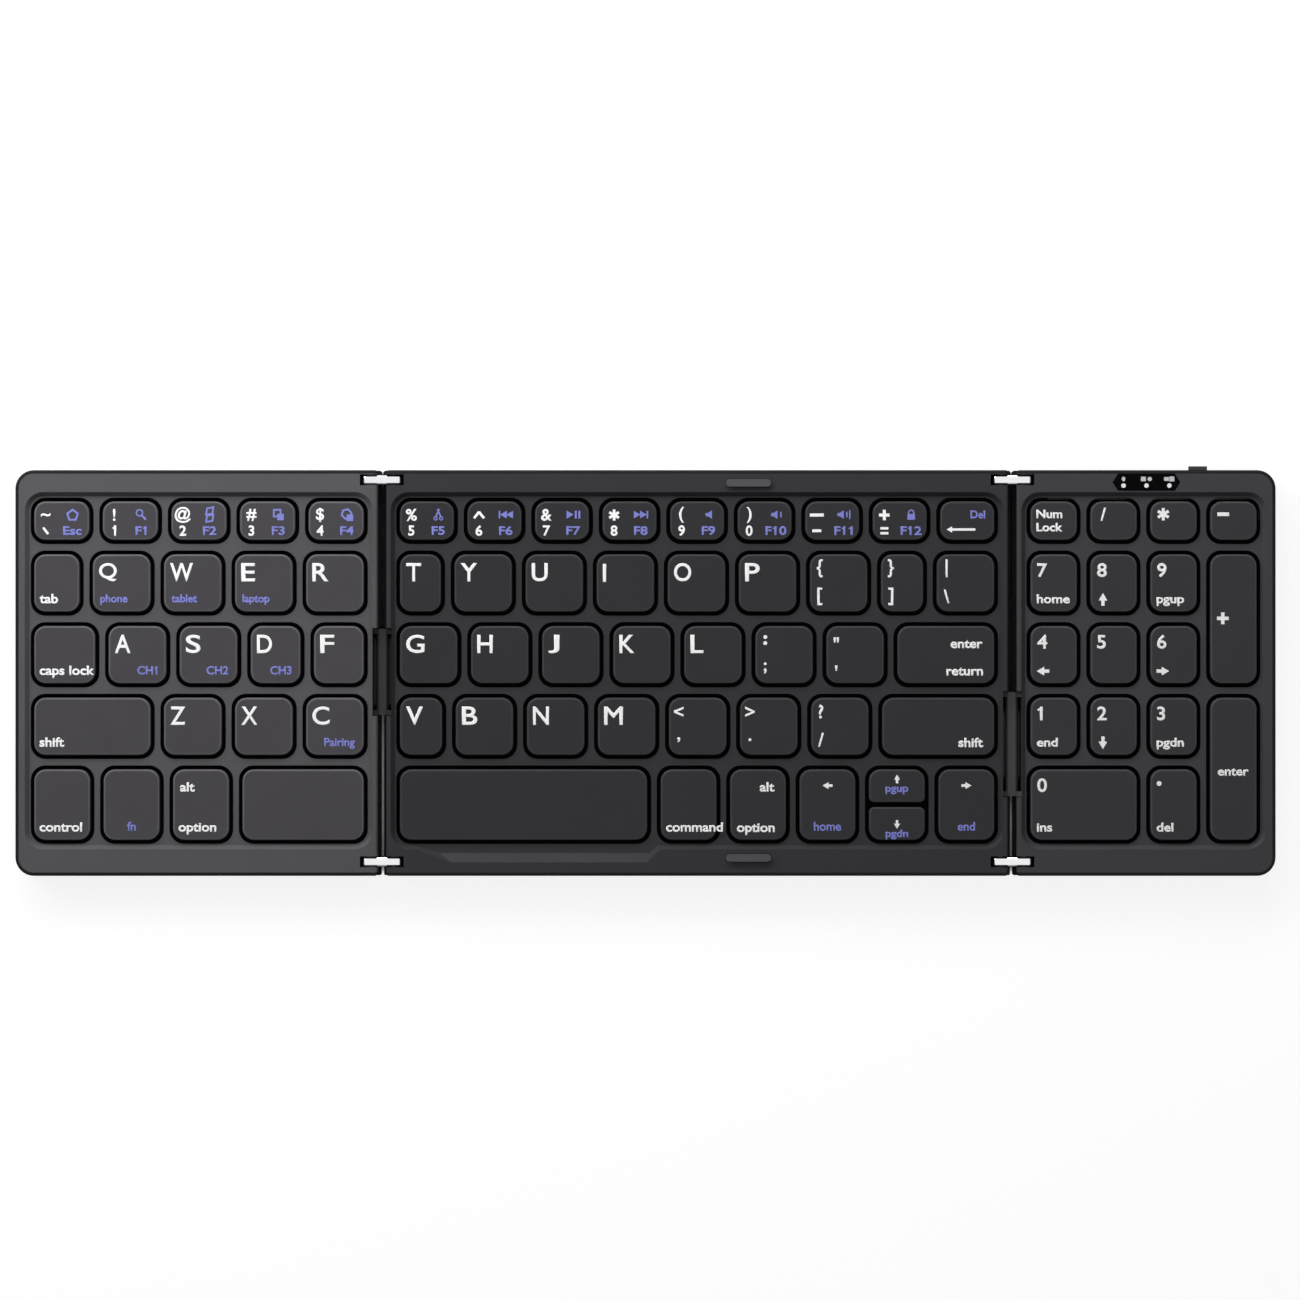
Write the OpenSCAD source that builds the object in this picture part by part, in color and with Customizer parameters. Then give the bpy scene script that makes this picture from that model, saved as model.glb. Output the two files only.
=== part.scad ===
// Folding keyboard with a number pad: three thin panels joined by two double-axis hinges.
// Lengths are millimetres. The origin is the middle of the footprint on the table,
// +Z is up, and the rear edge of the keyboard is towards +Y. The model is drawn laid open.

/* [Panels] */
// Thickness of a panel without its feet
panel_t = 7.2; // [7:0.1:9]
// Corner radius of the whole keyboard, seen from above
corner_r = 4.5; // [2.6:0.1:8]
// Corner radius of a panel beside a hinge gap
hinge_corner_r = 0.7; // [0.6:0.1:2]
// Round-over along the top edge of a panel
top_edge_r = 0.6; // [0.3:0.1:0.6]
// Round-over along the bottom edge of a panel
bottom_edge_r = 0.6; // [0.3:0.1:0.6]
// Outer wall of the top frame and of the back cover
wall = 1.2; // [1:0.1:1.6]
// Floor of the back cover
floor_t = 0.8; // [0.7:0.1:1.2]

/* [Key well] */
// Drop from the rim to the web between the keys
well_depth = 1.1; // [0.6:0.1:1.4]
// How far the slanted wall of the well runs sideways
well_slope = 1.0; // [0.5:0.1:1.1]
// Flat ledge between the outer key openings and the foot of the slanted wall
well_ledge = 0.3; // [0.1:0.1:0.6]
// Thickness of the web between the keys
web_t = 1.0; // [0.8:0.1:1.3]
// Extra reach of the well towards the user in front of the space bar
thumb_reach = 2.6; // [1.6:0.1:3]
// How far the slanted wall in front of the space bar runs towards the user
thumb_slope = 2.2; // [1:0.1:2.4]

/* [Keys] */
// Rear edge of the keyboard to the first row of keys
rear_margin = 7.0; // [6.6:0.1:8]
// Last row of keys to the front edge of the keyboard
front_margin = 8.1; // [7.4:0.1:9]
// Free edge of a side panel to its keys
outer_margin = 4.0; // [3.8:0.1:6]
// Middle of a hinge gap to the nearest keys
hinge_margin = 3.8; // [3.7:0.1:4.6]
// Height of the function row, front to rear
function_row_h = 10.5; // [9.5:0.1:12]
// Height of a letter row, front to rear
letter_row_h = 15.05; // [14.5:0.05:16]
// Height of the front row, front to rear
front_row_h = 18.25; // [17:0.05:20]
// Strip of web between two rows, measured between key outlines
row_spacing = 2.3; // [2:0.1:2.8]
// Strip of web between two keys of one row, measured between key outlines
key_spacing = 2.1; // [1.8:0.1:2.6]
// Width of a letter key
letter_w = 15.1; // [14.2:0.1:16.4]
// Width of the tab key
tab_w = 12.1; // [11:0.1:16]
// Width of the first letter key of the centre panel's upper letter row
first_key_w = 11.1; // [10.5:0.1:15]
// Width of a number pad key
number_key_w = 12.4; // [12:0.1:15]
// Width of the two slim keys at the hinge end of the left home row
slim_w = 13.2; // [12:0.1:14]
// Width of a narrow key in the centre panel
narrow_w = 11.4; // [10.5:0.1:13]
// Width of a modifier or arrow key in the front row
modifier_w = 14.7; // [14:0.1:15.2]
// Gap all round between a keycap and its opening
key_gap = 0.75; // [0.5:0.05:0.9]
// Corner radius of a keycap
cap_r = 2.8; // [1.5:0.1:3.2]
// Height of a keycap with its skirt
cap_h = 2.2; // [1.8:0.1:2.4]
// Thickness of the top of a keycap
cap_top_t = 1.0; // [0.8:0.1:1.2]
// Skirt wall of a keycap
cap_wall = 0.8; // [0.6:0.1:1]
// Bevel round the top of a keycap
cap_bevel = 0.45; // [0.2:0.05:0.6]
// How far a keycap top lies below the rim
cap_below_rim = 0.1; // [0:0.05:0.3]
// Travel of a key
key_travel = 1.4; // [1:0.1:1.5]

/* [Switch parts] */
// Steel support plate under the switches
plate_t = 0.3; // [0.2:0.05:0.5]
// Switch membrane on the plate
membrane_t = 0.25; // [0.15:0.05:0.35]
// Air under a fully pressed key
press_clearance = 0.25; // [0.15:0.05:0.4]
// Radius of the foot of a rubber dome
dome_r = 2.5; // [2.2:0.1:2.6]
// Thickness of the bars of a scissor link
scissor_bar = 0.7; // [0.5:0.05:0.8]
// Largest scissor link, both ways
scissor_max = 9.4; // [8:0.1:11]
// Radius of the pivot where the two scissor links cross
scissor_pin_r = 0.22; // [0.15:0.01:0.25]

/* [Hinges] */
// Distance between the two axes of a hinge
axis_spacing = 5.6; // [5.5:0.05:5.7]
// Gap between two panels when they are folded together
fold_gap = 1.2; // [1.1:0.05:1.5]
// Gap between two panels laid open, at the top
open_gap = 2.06; // [1.8:0.02:2.2]
// Gap between the lower lips in front of the cable bridge
front_lip_gap = 0.7; // [0.4:0.05:0.9]
// Gap between the lower lips behind the cable bridge
rear_lip_gap = 0.2; // [0.1:0.05:0.4]
// Radius of the eyes of a hinge link
link_eye_r = 1.9; // [1.6:0.05:1.9]
// Thickness of a hinge link at its eyes
link_t = 2.35; // [2:0.05:2.6]
// Radius of a hinge pin
hinge_pin_r = 0.75; // [0.6:0.05:0.9]
// Wall of a panel outside a rear hinge link
rear_clevis_wall = 1.0; // [0.9:0.05:1.3]
// Wall of a panel outside a front hinge link
front_clevis_wall = 2.1; // [1.8:0.05:2.4]
// Wall of a panel on the inner side of a hinge link
inner_clevis_wall = 1.3; // [1:0.05:1.6]
// Radial play between a turning pin and its bore
pin_play = 0.05; // [0.03:0.01:0.08]
// Play beside a hinge link
side_play = 0.15; // [0.1:0.05:0.25]

/* [Cable bridges] */
// Length of the left cable bridge
left_bridge_l = 20.9; // [18:0.1:24]
// Rear edge of the keyboard to the left cable bridge
left_bridge_from_rear = 38.4; // [36:0.1:42]
// Length of the right cable bridge
right_bridge_l = 25.3; // [20:0.1:27]
// Rear edge of the keyboard to the right cable bridge
right_bridge_from_rear = 53.7; // [50:0.1:56]
// Width of the bar of a cable bridge
bridge_bar_w = 3.0; // [2.6:0.05:3.1]
// Height of the bar of a cable bridge
bridge_bar_h = 2.4; // [2:0.05:2.4]
// Width of the flat cable through a bridge
cable_w = 16; // [10:0.5:16.5]
// Thickness of the flat cable
cable_t = 0.25; // [0.15:0.05:0.3]

/* [Electronics] */
// Length of the power switch knob along the rear edge
knob_l = 4.4; // [4:0.1:5]
// How far the knob stands out of the rear edge
knob_out = 1.0; // [0.6:0.1:1.4]
// Travel of the power switch
knob_travel = 2.0; // [1.5:0.1:2.4]
// Length of the status window
window_l = 16.2; // [14:0.1:17]
// Width of the status window
window_w = 4.0; // [3.4:0.1:4.4]
// Length of the battery
battery_l = 44; // [36:0.5:46]
// Width of the battery
battery_w = 50; // [40:0.5:54]

/* [Feet and fasteners] */
// How far the feet stand proud of the back cover
foot_proud = 0.6; // [0.4:0.1:1]
// Length of a foot
foot_l = 16; // [12:0.5:20]
// Width of a foot
foot_w = 4; // [3:0.1:4.4]
// Radius of a screw thread
screw_r = 0.6; // [0.5:0.05:0.65]
// Height of the fold bumpers over the rim
bumper_proud = 1.0; // [0.8:0.05:1]

/* [Hidden] */
$fn = 48;
// Overshoot of a cut past the face that it opens
over = 0.5;

// Heights, from the table up
z_base = foot_proud;
z_floor = z_base + floor_t;
z_rim = z_base + panel_t;
z_web = z_rim - well_depth;
z_cap_top = z_rim - cap_below_rim;
z_cap = z_cap_top - cap_h;
z_cap_ceiling = z_cap_top - cap_top_t;
z_membrane = z_cap - key_travel - press_clearance - membrane_t;
z_plate = z_membrane - plate_t;
z_switch = z_membrane + membrane_t;
axis_below_rim = (axis_spacing - fold_gap) / 2;
z_axis = z_rim - axis_below_rim;

// Rows and depth
row_h = [function_row_h, letter_row_h, letter_row_h, letter_row_h, front_row_h];
numpad_cols = 4;
depth = rear_margin + total(row_h, 5) + 4 * row_spacing + front_margin;

// Places across, from the left
left_keys_w = tab_w + 4 * letter_w + 4 * key_spacing;
centre_keys_w = first_key_w + 7 * letter_w + narrow_w + 8 * key_spacing;
numpad_keys_w = numpad_cols * number_key_w + (numpad_cols - 1) * key_spacing;
left_panel_w = outer_margin + left_keys_w + hinge_margin;
centre_panel_w = 2 * hinge_margin + centre_keys_w;
numpad_panel_w = hinge_margin + numpad_keys_w + outer_margin;
total_w = left_panel_w + centre_panel_w + numpad_panel_w;
x_left = -total_w / 2;
x_right = total_w / 2;
plane_l = x_left + left_panel_w;
plane_r = plane_l + centre_panel_w;
y_rear = depth / 2;
y_front = -depth / 2;
x_fold = plane_l + left_panel_w;

// Key fields: [left end, width]
left_field = [x_left + outer_margin, left_keys_w];
centre_field = [plane_l + hinge_margin, centre_keys_w];
numpad_field = [plane_r + hinge_margin, numpad_keys_w];

// Key widths from left to right. The keys marked 0 share what is left of the row.
left_widths = [
  [0, 0, 0, 0, 0],
  [0, letter_w, letter_w, letter_w, letter_w],
  [0, letter_w, letter_w, slim_w, slim_w],
  [0, letter_w, letter_w, letter_w],
  [modifier_w, modifier_w, modifier_w, 0]
];
six_letters = [for (i = [1:6]) letter_w];
centre_widths = [
  [for (i = [1:9]) 0],
  concat([0], six_letters, [narrow_w, letter_w]),
  concat([letter_w], six_letters, [0]),
  concat([narrow_w], six_letters, [0]),
  [0, modifier_w, modifier_w, modifier_w, modifier_w, modifier_w]
];
arrow_key = 4;

// Hinge links
link_notch_out = link_eye_r + 0.6;
clevis_end_wall = 1.0;
lip_clearance = 0.15;
rear_link_y = y_rear - rear_clevis_wall - side_play - link_t / 2;
front_link_y = y_front + front_clevis_wall + side_play + link_t / 2;
link_waist_t = link_t - 0.2;
link_waist_h = 2 * link_eye_r - 0.8;
pin_fit = 0.02;
pin_blind = 0.6;

// Cable bridges
bridge_y = [y_rear - left_bridge_from_rear - left_bridge_l / 2,
            y_rear - right_bridge_from_rear - right_bridge_l / 2];
bridge_l = [left_bridge_l, right_bridge_l];
bridge_arm_t = 1.2;
bridge_eye_r = 0.85;
bridge_stub_r = 0.42;
bridge_stub_l = 1.0;
bridge_bore_r = bridge_stub_r + pin_play;
bridge_end_play = 0.2;
bridge_arm_w = 1.1;
bridge_notch_half = axis_spacing / 2 - 0.5;
z_cable = z_membrane;
z_bar = z_cable + cable_t / 2;
// Slope of a bridge arm laid open, from the bar up to its eye
arm_lean = atan2(z_axis - z_bar, axis_spacing / 2);
bearing_reach = 0.5;
cable_end_gap = 0.3;

// Screws, feet, magnets
screw_head_r = 1.3;
screw_head_h = 0.6;
screw_in = 3.6;
screw_side = 9;
hinge_screw_side = 13;
numpad_left_screw_side = 23;
numpad_right_screw_side = 5.5;
middle_screw_offset = 12;
screw_play = 0.03;
boss_r = 1.7;
boss_roof = 0.7;
foot_sink = 0.3;
foot_in = 9.5;
foot_side = 16;
magnet_r = 1.5;
magnet_h = 1.6;
magnet_play = 0.05;
magnet_side = 4.6;
magnet_apart = 24;
numpad_magnet_side = 13;
bumper_l = 10.9;
bumper_w = 1.8;
bumper_sink = 0.6;
bumper_rear_in = 3.1;
bumper_front_in = 4.4;
fit_gap = 0.1;
rib_t = 0.8;

// Number pad electronics
window_offset = 0.55;
window_in = 2.95;
x_window = (plane_r + x_right) / 2 + window_offset;
y_window = y_rear - window_in;
window_t = 0.9;
window_tip = 1.3;
pipe_r = 0.55;
pipe_in = 0.8;
pipe_pitch = 5.55;
pipe_below = 0.02;
knob_side = 18.6;
x_knob = x_right - knob_side;
knob_h = 1.5;
knob_stem_l = 2.4;
z_knob = z_plate + 1.3;
port_side = 16;
x_port = plane_r + port_side;
port_w = 8.9;
port_h = 3.1;
port_d = 6.0;
port_wall = 0.3;
z_port = z_plate + 0.7;
board_t = 0.6;
board_d = 10.5;
board_side = 9;
board_gap = 0.2;
z_board = z_floor + 0.15;
switch_body = [8.6, 2.6, 2.0];

// Helpers: sums, rows and keys. A key is [left end, distance from rear edge, width, height].
function total(v, n) = n <= 0 ? 0 : v[n - 1] + total(v, n - 1);
function open_count(v) = len([for (w = v) if (w == 0) 1]);
function open_w(v, field) = (field - key_spacing * (len(v) - 1) - total(v, len(v))) / open_count(v);
function widths(v, field) = [for (w = v) w == 0 ? open_w(v, field) : w];
function row_top(r) = rear_margin + total(row_h, r) + r * row_spacing;
function rows_h(r, n) = row_top(r + n - 1) + row_h[r + n - 1] - row_top(r);
function key_row(v, field, r) = let (w = widths(v, field[1]))
  [for (i = [0:len(w) - 1]) [field[0] + total(w, i) + i * key_spacing, row_top(r), w[i], row_h[r]]];
function halves(k) = [[k[0], k[1], k[2], k[3] / 2], [k[0], k[1] + k[3] / 2, k[2], k[3] / 2]];
function num_key(c, nc, r, nr) = [numpad_field[0] + c * (number_key_w + key_spacing), row_top(r),
  nc * number_key_w + (nc - 1) * key_spacing, rows_h(r, nr)];
function left_keys(r) = key_row(left_widths[r], left_field, r);
function centre_openings(r) = key_row(centre_widths[r], centre_field, r);
function centre_keys(r) = let (k = centre_openings(r))
  r < 4 ? k : [for (i = [0:len(k) - 1]) each i == arrow_key ? halves(k[i]) : [k[i]]];
function numpad_keys(r) =
  r == 0 ? [for (c = [0:3]) num_key(c, 1, 0, 1)] :
  r == 1 ? concat([for (c = [0:2]) num_key(c, 1, 1, 1)], [num_key(3, 1, 1, 2)]) :
  r == 2 ? [for (c = [0:2]) num_key(c, 1, 2, 1)] :
  r == 3 ? concat([for (c = [0:2]) num_key(c, 1, 3, 1)], [num_key(3, 1, 3, 2)]) :
  [num_key(0, 2, 4, 1), num_key(2, 1, 4, 1)];
left_all = [for (r = [0:4]) each left_keys(r)];
centre_all = [for (r = [0:4]) each centre_keys(r)];
centre_all_openings = [for (r = [0:4]) each centre_openings(r)];
numpad_all = [for (r = [0:4]) each numpad_keys(r)];

// Rounded rectangle, centred
module rounded_rect(l, d, r) {
  square([l - 2 * r, d], center = true);
  square([l, d - 2 * r], center = true);
  for (x = [-1, 1], y = [-1, 1]) translate([x * (l / 2 - r), y * (d / 2 - r)]) circle(r);
}

// What a round-over of radius r takes away from a square corner
module round_over(r) {
  difference() {
    square(r + over);
    circle(r);
  }
}

// Section of a slab from a to b, rounded over at the ends that are asked for
module slab_section(a, b, h, rt, rb, at_a, at_b) {
  difference() {
    translate([a, 0]) square([b - a, h]);
    if (at_b) translate([b - rt, h - rt]) round_over(rt);
    if (at_b) translate([b - rb, rb]) mirror([0, 1]) round_over(rb);
    if (at_a) translate([a + rt, h - rt]) mirror([1, 0]) round_over(rt);
    if (at_a) translate([a + rb, rb]) mirror([1, 0]) mirror([0, 1]) round_over(rb);
  }
}

// Slab from xa to xb over the full depth. Corner radius ra at xa and rb at xb,
// top edges rounded over by rt and bottom edges by rbot.
module slab(xa, xb, h, ra, rb, rt, rbot) {
  mid = (xa + xb) / 2;
  for (c = [[xa + ra, ra], [xb - rb, rb]], s = [-1, 1])
    translate([c[0], s * (depth / 2 - c[1]), 0]) rotate_extrude()
      slab_section(0, c[1], h, rt, rbot, false, true);
  translate([xa + ra, 0, 0]) rotate([90, 0, 90]) linear_extrude(xb - rb - xa - ra)
    slab_section(-depth / 2, depth / 2, h, rt, rbot, true, true);
  translate([0, depth / 2 - ra, 0]) rotate([90, 0, 0]) linear_extrude(depth - 2 * ra)
    slab_section(xa, mid, h, rt, rbot, true, false);
  translate([0, depth / 2 - rb, 0]) rotate([90, 0, 0]) linear_extrude(depth - 2 * rb)
    slab_section(mid, xb, h, rt, rbot, false, true);
}

// Plate with rounded corners whose rim follows the section given as points [x, z]
// of one corner, with x from 0 to the corner radius
module rimmed_plate(l, d, r, section) {
  function half(w) = [for (p = section) [p[0] > 0 ? w / 2 - r + p[0] : 0, p[1]]];
  for (x = [-1, 1], y = [-1, 1])
    translate([x * (l / 2 - r), y * (d / 2 - r), 0]) rotate_extrude() polygon(section);
  translate([0, d / 2 - r, 0]) rotate([90, 0, 0]) linear_extrude(d - 2 * r)
    for (s = [0, 1]) mirror([s, 0]) polygon(half(l));
  translate([r - l / 2, 0, 0]) rotate([90, 0, 90]) linear_extrude(l - 2 * r)
    for (s = [0, 1]) mirror([s, 0]) polygon(half(d));
}

// Moves to the middle of a key
module at_key(k) {
  translate([k[0] + k[2] / 2, y_rear - k[1] - k[3] / 2, 0]) children();
}

// Opening in the web for one key
module key_opening(k) {
  at_key(k) translate([0, 0, z_plate - over]) linear_extrude(panel_t)
    rounded_rect(k[2] + key_gap, k[3] + key_gap, cap_r + key_gap);
}

// Keycap: bevelled top, hollow underneath
module keycap(k) {
  l = k[2] - key_gap;
  d = k[3] - key_gap;
  at_key(k) difference() {
    translate([0, 0, z_cap]) rimmed_plate(l, d, cap_r,
      [[0, 0], [cap_r, 0], [cap_r, cap_h - cap_bevel], [cap_r - cap_bevel, cap_h], [0, cap_h]]);
    translate([0, 0, z_cap - over]) linear_extrude(cap_h - cap_top_t + over)
      rounded_rect(l - 2 * cap_wall, d - 2 * cap_wall, cap_r - cap_wall);
  }
}

module keycaps(keys, tint) {
  color(tint) for (k = keys) keycap(k);
}

// Room for a scissor under a key of width w, clear of the rounded corners of the skirt
scissor_clearance = 0.15;
scissor_room = (cap_r - cap_wall) * (1 - sqrt(1 / 2)) + scissor_clearance;
function scissor_fit(w) = min(scissor_max, w - key_gap - 2 * cap_wall - 2 * scissor_room);
// Size of the scissor under a key, [across, front to rear]
function scissor_size(k) = [scissor_fit(k[2]), scissor_fit(k[3])];

// One frame of a scissor, tilted by a about the crossing, w across its side bars
module scissor_frame(w, span, a) {
  rotate([a, 0, 0]) difference() {
    cube([w, span, scissor_bar], center = true);
    cube([w - 2 * scissor_bar, span - 2 * scissor_bar, scissor_bar + over], center = true);
  }
}

// Scissor under one key: an outer and an inner frame crossing on two pins
module scissor(k) {
  s = scissor_size(k);
  rise = z_cap_ceiling - z_switch - scissor_bar - 0.3;
  a = asin(rise / s[1]);
  span = s[1] * cos(a);
  play = 0.1;
  inner_w = s[0] - 2 * scissor_bar - 2 * play;
  at_key(k) translate([0, 0, (z_switch + z_cap_ceiling) / 2]) {
    difference() {
      scissor_frame(s[0], span, a);
      rotate([0, 90, 0]) cylinder(r = scissor_pin_r + pin_fit, h = s[0] + 1, center = true);
    }
    scissor_frame(inner_w, span, -a);
    for (x = [-1, 1]) translate([x * (inner_w / 2 + (scissor_bar + play) / 2 - 0.1), 0, 0])
      rotate([0, 90, 0]) cylinder(r = scissor_pin_r, h = scissor_bar + play, center = true);
  }
}

module scissors(keys) {
  color("#d8d6cf") for (k = keys) scissor(k);
}

// Rubber dome under one key, with a plunger that meets the keycap
module dome(k) {
  s = scissor_size(k);
  dome_room = 0.45;
  r = min(dome_r, s[1] / 2 - scissor_bar - dome_room, s[0] / 2 - 2 * scissor_bar - dome_room);
  wall_t = 0.35;
  dome_play = 0.05;
  top = z_cap_ceiling - z_switch - dome_play;
  at_key(k) translate([0, 0, z_switch]) rotate_extrude() polygon([
    [r - wall_t, 0], [r, 0], [r, 0.3], [r * 0.5 + wall_t, top - 0.7], [r * 0.5, top], [0, top],
    [0, top - 1], [r * 0.5 - 0.1, top - 1], [r - wall_t - 0.1, 0.3]
  ]);
}

module domes(keys) {
  color("#c9c9c4") for (k = keys) dome(k);
}

// Key well cut over one field, with a flat ledge round the keys and slanted walls
module well(field) {
  ledge = key_gap / 2 + well_ledge;
  xa = field[0] - ledge;
  xb = field[0] + field[1] + ledge;
  ya = y_rear - rear_margin + ledge;
  yb = y_front + front_margin - ledge;
  l = xb - xa + 2 * well_slope;
  d = ya - yb + 2 * well_slope;
  r = cap_r + ledge + well_slope;
  translate([(xa + xb) / 2, (ya + yb) / 2, z_web]) rimmed_plate(l, d, r,
    [[0, 0], [r - well_slope, 0], [r, well_depth], [r, well_depth + over], [0, well_depth + over]]);
}

// Everything on the inner side of a wall that leans outwards. The wall's foot passes
// through [x, y] at web height, facing is its outward direction and run its slant.
module inside_wall(x, y, facing, run) {
  size = 2 * centre_panel_w;
  translate([x, y, z_web]) rotate([0, 0, facing]) rotate([0, atan2(run, well_depth), 0])
    translate([-size, -size / 2, -size / 2]) cube(size);
}

// Thumb relief in front of the space bar: the well reaches further towards the user,
// with a slanted front wall, a short ramp at its right end and a long one at its left
module thumb_relief() {
  k = centre_openings(4)[0];
  y0 = y_front + front_margin;
  left_in = 10;
  left_turn = 20;
  intersection() {
    translate([k[0], y0 - 2 * thumb_reach - thumb_slope, z_web])
      cube([k[2] + 2 * thumb_reach + thumb_slope, 2 * thumb_reach + thumb_slope, well_depth + over]);
    inside_wall(k[0] + left_in, y0 - thumb_reach, -90, thumb_slope);
    inside_wall(k[0] + left_in, y0 - thumb_reach, -90 - left_turn, well_slope);
    inside_wall(k[0] + k[2], y0 - thumb_reach, -45, thumb_slope / 2);
  }
}

// Distance from the middle of a hinge gap to the panel wall's inner face
inner_face = hinge_margin - key_gap / 2;

// Plan of the hollow inside a top frame. s tells which ends meet a hinge gap.
module hollow_plan(xa, xb, hinge_a, hinge_b) {
  x0 = xa + (hinge_a ? inner_face : wall);
  x1 = xb - (hinge_b ? inner_face : wall);
  difference() {
    translate([(x0 + x1) / 2, 0]) rounded_rect(x1 - x0, depth - 2 * wall, corner_r - wall);
    if (hinge_a) hinge_block_plans(xa, 1);
    if (hinge_b) hinge_block_plans(xb, -1);
  }
}

// Solid plan of the clevis blocks at the rear and front ends of a hinge gap
module hinge_block_plans(plane, s) {
  reach = axis_spacing / 2 + link_notch_out + clevis_end_wall;
  rear_d = rear_clevis_wall + link_t + 2 * side_play + inner_clevis_wall;
  front_d = front_clevis_wall + link_t + 2 * side_play + inner_clevis_wall;
  translate([plane + (s < 0 ? -reach : 0), y_rear - rear_d]) square([reach, rear_d]);
  translate([plane + (s < 0 ? -reach : 0), y_front]) square([reach, front_d]);
}

// Cut for a hinge link in a panel: open at the top and towards the gap
module link_notch(plane, s, y) {
  reach = axis_spacing / 2 + link_notch_out;
  w = link_t + 2 * side_play;
  translate([plane + s * reach / 2, y, z_plate + panel_t / 2 - over])
    cube([reach, w, panel_t], center = true);
}

// Bores for the pins of one hinge axis, blind in the outer wall
module pin_bores(plane, s) {
  for (e = [[rear_link_y, 1], [front_link_y, -1]])
    translate([plane + s * axis_spacing / 2, e[0], z_axis]) rotate([-90 * e[1], 0, 0])
      translate([0, 0, -link_t / 2 - side_play - inner_clevis_wall - over])
        cylinder(r = hinge_pin_r + pin_play,
                 h = link_t + 2 * side_play + inner_clevis_wall + over + pin_blind + 0.05);
}

// Section that a bridge arm sweeps about its eye while the panel folds, for a panel
// on the left of the hinge gap
module arm_sweep_plan() {
  arm_play = 0.15;
  grow = bridge_arm_w / 2 + arm_play;
  reach = 2.2;
  open_way = [cos(arm_lean), -sin(arm_lean)];
  fold_way = [sin(arm_lean), cos(arm_lean)];
  circle(bridge_eye_r + arm_play);
  polygon([
    grow * [-fold_way[1], fold_way[0]],
    grow * [-fold_way[1], fold_way[0]] + reach * fold_way,
    reach * (open_way + fold_way),
    grow * [open_way[1], -open_way[0]] + reach * open_way,
    grow * [open_way[1], -open_way[0]]
  ]);
}

// Cut for a cable bridge in a panel, with the bores for its stub pins
module bridge_cut(plane, s, i) {
  l = bridge_l[i] + 2 * bridge_end_play;
  half = axis_spacing / 2;
  arm = bridge_arm_t + 2 * bridge_end_play;
  translate([plane, bridge_y[i], 0]) {
    translate([s > 0 ? 0 : -bridge_notch_half, -l / 2, z_floor + lip_clearance])
      cube([bridge_notch_half, l, panel_t + over]);
    for (e = [-1, 1]) translate([s * half, e * (l / 2 - arm / 2), z_axis]) {
      rotate([90, 0, 0]) linear_extrude(arm, center = true)
        mirror([s > 0 ? 1 : 0, 0]) arm_sweep_plan();
      translate([0, e * arm / 2, 0]) rotate([-90 * e, 0, 0]) translate([0, 0, -0.1])
        cylinder(r = bridge_bore_r, h = bridge_stub_l + 0.2);
    }
    translate([s * (half + bearing_reach), 0, z_cable + cable_t / 2])
      cube([2 * half, cable_w + 1, cable_t + 0.3], center = true);
  }
}

// Bearing blocks beside a cable bridge, thickening the panel wall for the stub pins
module bridge_bearings(plane, s, i) {
  h = 2 * bridge_bore_r + 0.9;
  l = bridge_stub_l + 1.0;
  for (e = [-1, 1])
    translate([plane + s * (inner_face + bearing_reach / 2 - 0.2), bridge_y[i]
               + e * (bridge_l[i] / 2 + bridge_end_play + l / 2), z_axis])
      cube([bearing_reach + 0.4, l, h], center = true);
}

// Screw places of a panel, [x, y]
function screw_places(x0, x1, extra) = [for (x = concat([x0, x1], extra), s = [-1, 1])
  [x, s * (depth / 2 - screw_in)]];
left_screw_places = screw_places(x_left + screw_side, plane_l - hinge_screw_side, []);
centre_screw_places = screw_places(plane_l + hinge_screw_side, plane_r - hinge_screw_side,
                                   [(plane_l + plane_r) / 2 - middle_screw_offset]);
numpad_screw_places = screw_places(plane_r + numpad_left_screw_side,
                                   x_right - numpad_right_screw_side, []);

module screw_bosses(places) {
  for (p = places) translate([p[0], p[1], z_floor])
    cylinder(r = boss_r, h = z_web - web_t - z_floor + 0.1);
}

module screw_pilots(places) {
  for (p = places) translate([p[0], p[1], z_floor - over])
    cylinder(r = screw_r + screw_play, h = z_web - web_t - boss_roof - z_floor + over);
}

module screws(places) {
  color("#2b2b2e") for (p = places) translate([p[0], p[1], z_base]) difference() {
    union() {
      cylinder(r1 = screw_head_r, r2 = screw_r, h = screw_head_h);
      cylinder(r = screw_r, h = z_web - web_t - boss_roof - z_base - 0.3);
    }
    translate([0, 0, -over]) for (a = [0, 90]) rotate(a) translate([-0.75, -0.15, 0])
      cube([1.5, 0.3, over + 0.35]);
  }
}

// Magnet places of a panel
magnet_in = 3.4;
function magnet_places(xs) = [for (x = xs, s = [-1, 1]) [x, s * (depth / 2 - magnet_in)]];
left_magnet_places = magnet_places([x_left + magnet_side]);
centre_magnet_places = magnet_places([x_fold - magnet_apart / 2, x_fold + magnet_apart / 2]);
numpad_magnet_places = magnet_places([x_right - numpad_magnet_side]);

module magnets(places) {
  color("#c6c8cc") for (p = places) translate([p[0], p[1], z_web - web_t - 0.05])
    cylinder(r = magnet_r, h = magnet_h);
}

// Pockets for the magnets, open from below, with a thin roof under the rim
module magnet_pockets(places) {
  for (p = places) translate([p[0], p[1], z_web - web_t - over])
    cylinder(r = magnet_r + magnet_play, h = magnet_h + over + magnet_play);
}

// Ribs that stiffen the web between the rows and rest on the membrane
module row_rib_plans(xa, xb) {
  for (r = [1:4]) translate([xa, y_rear - row_top(r) + (row_spacing - rib_t) / 2])
    square([xb - xa, rib_t]);
}

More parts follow.
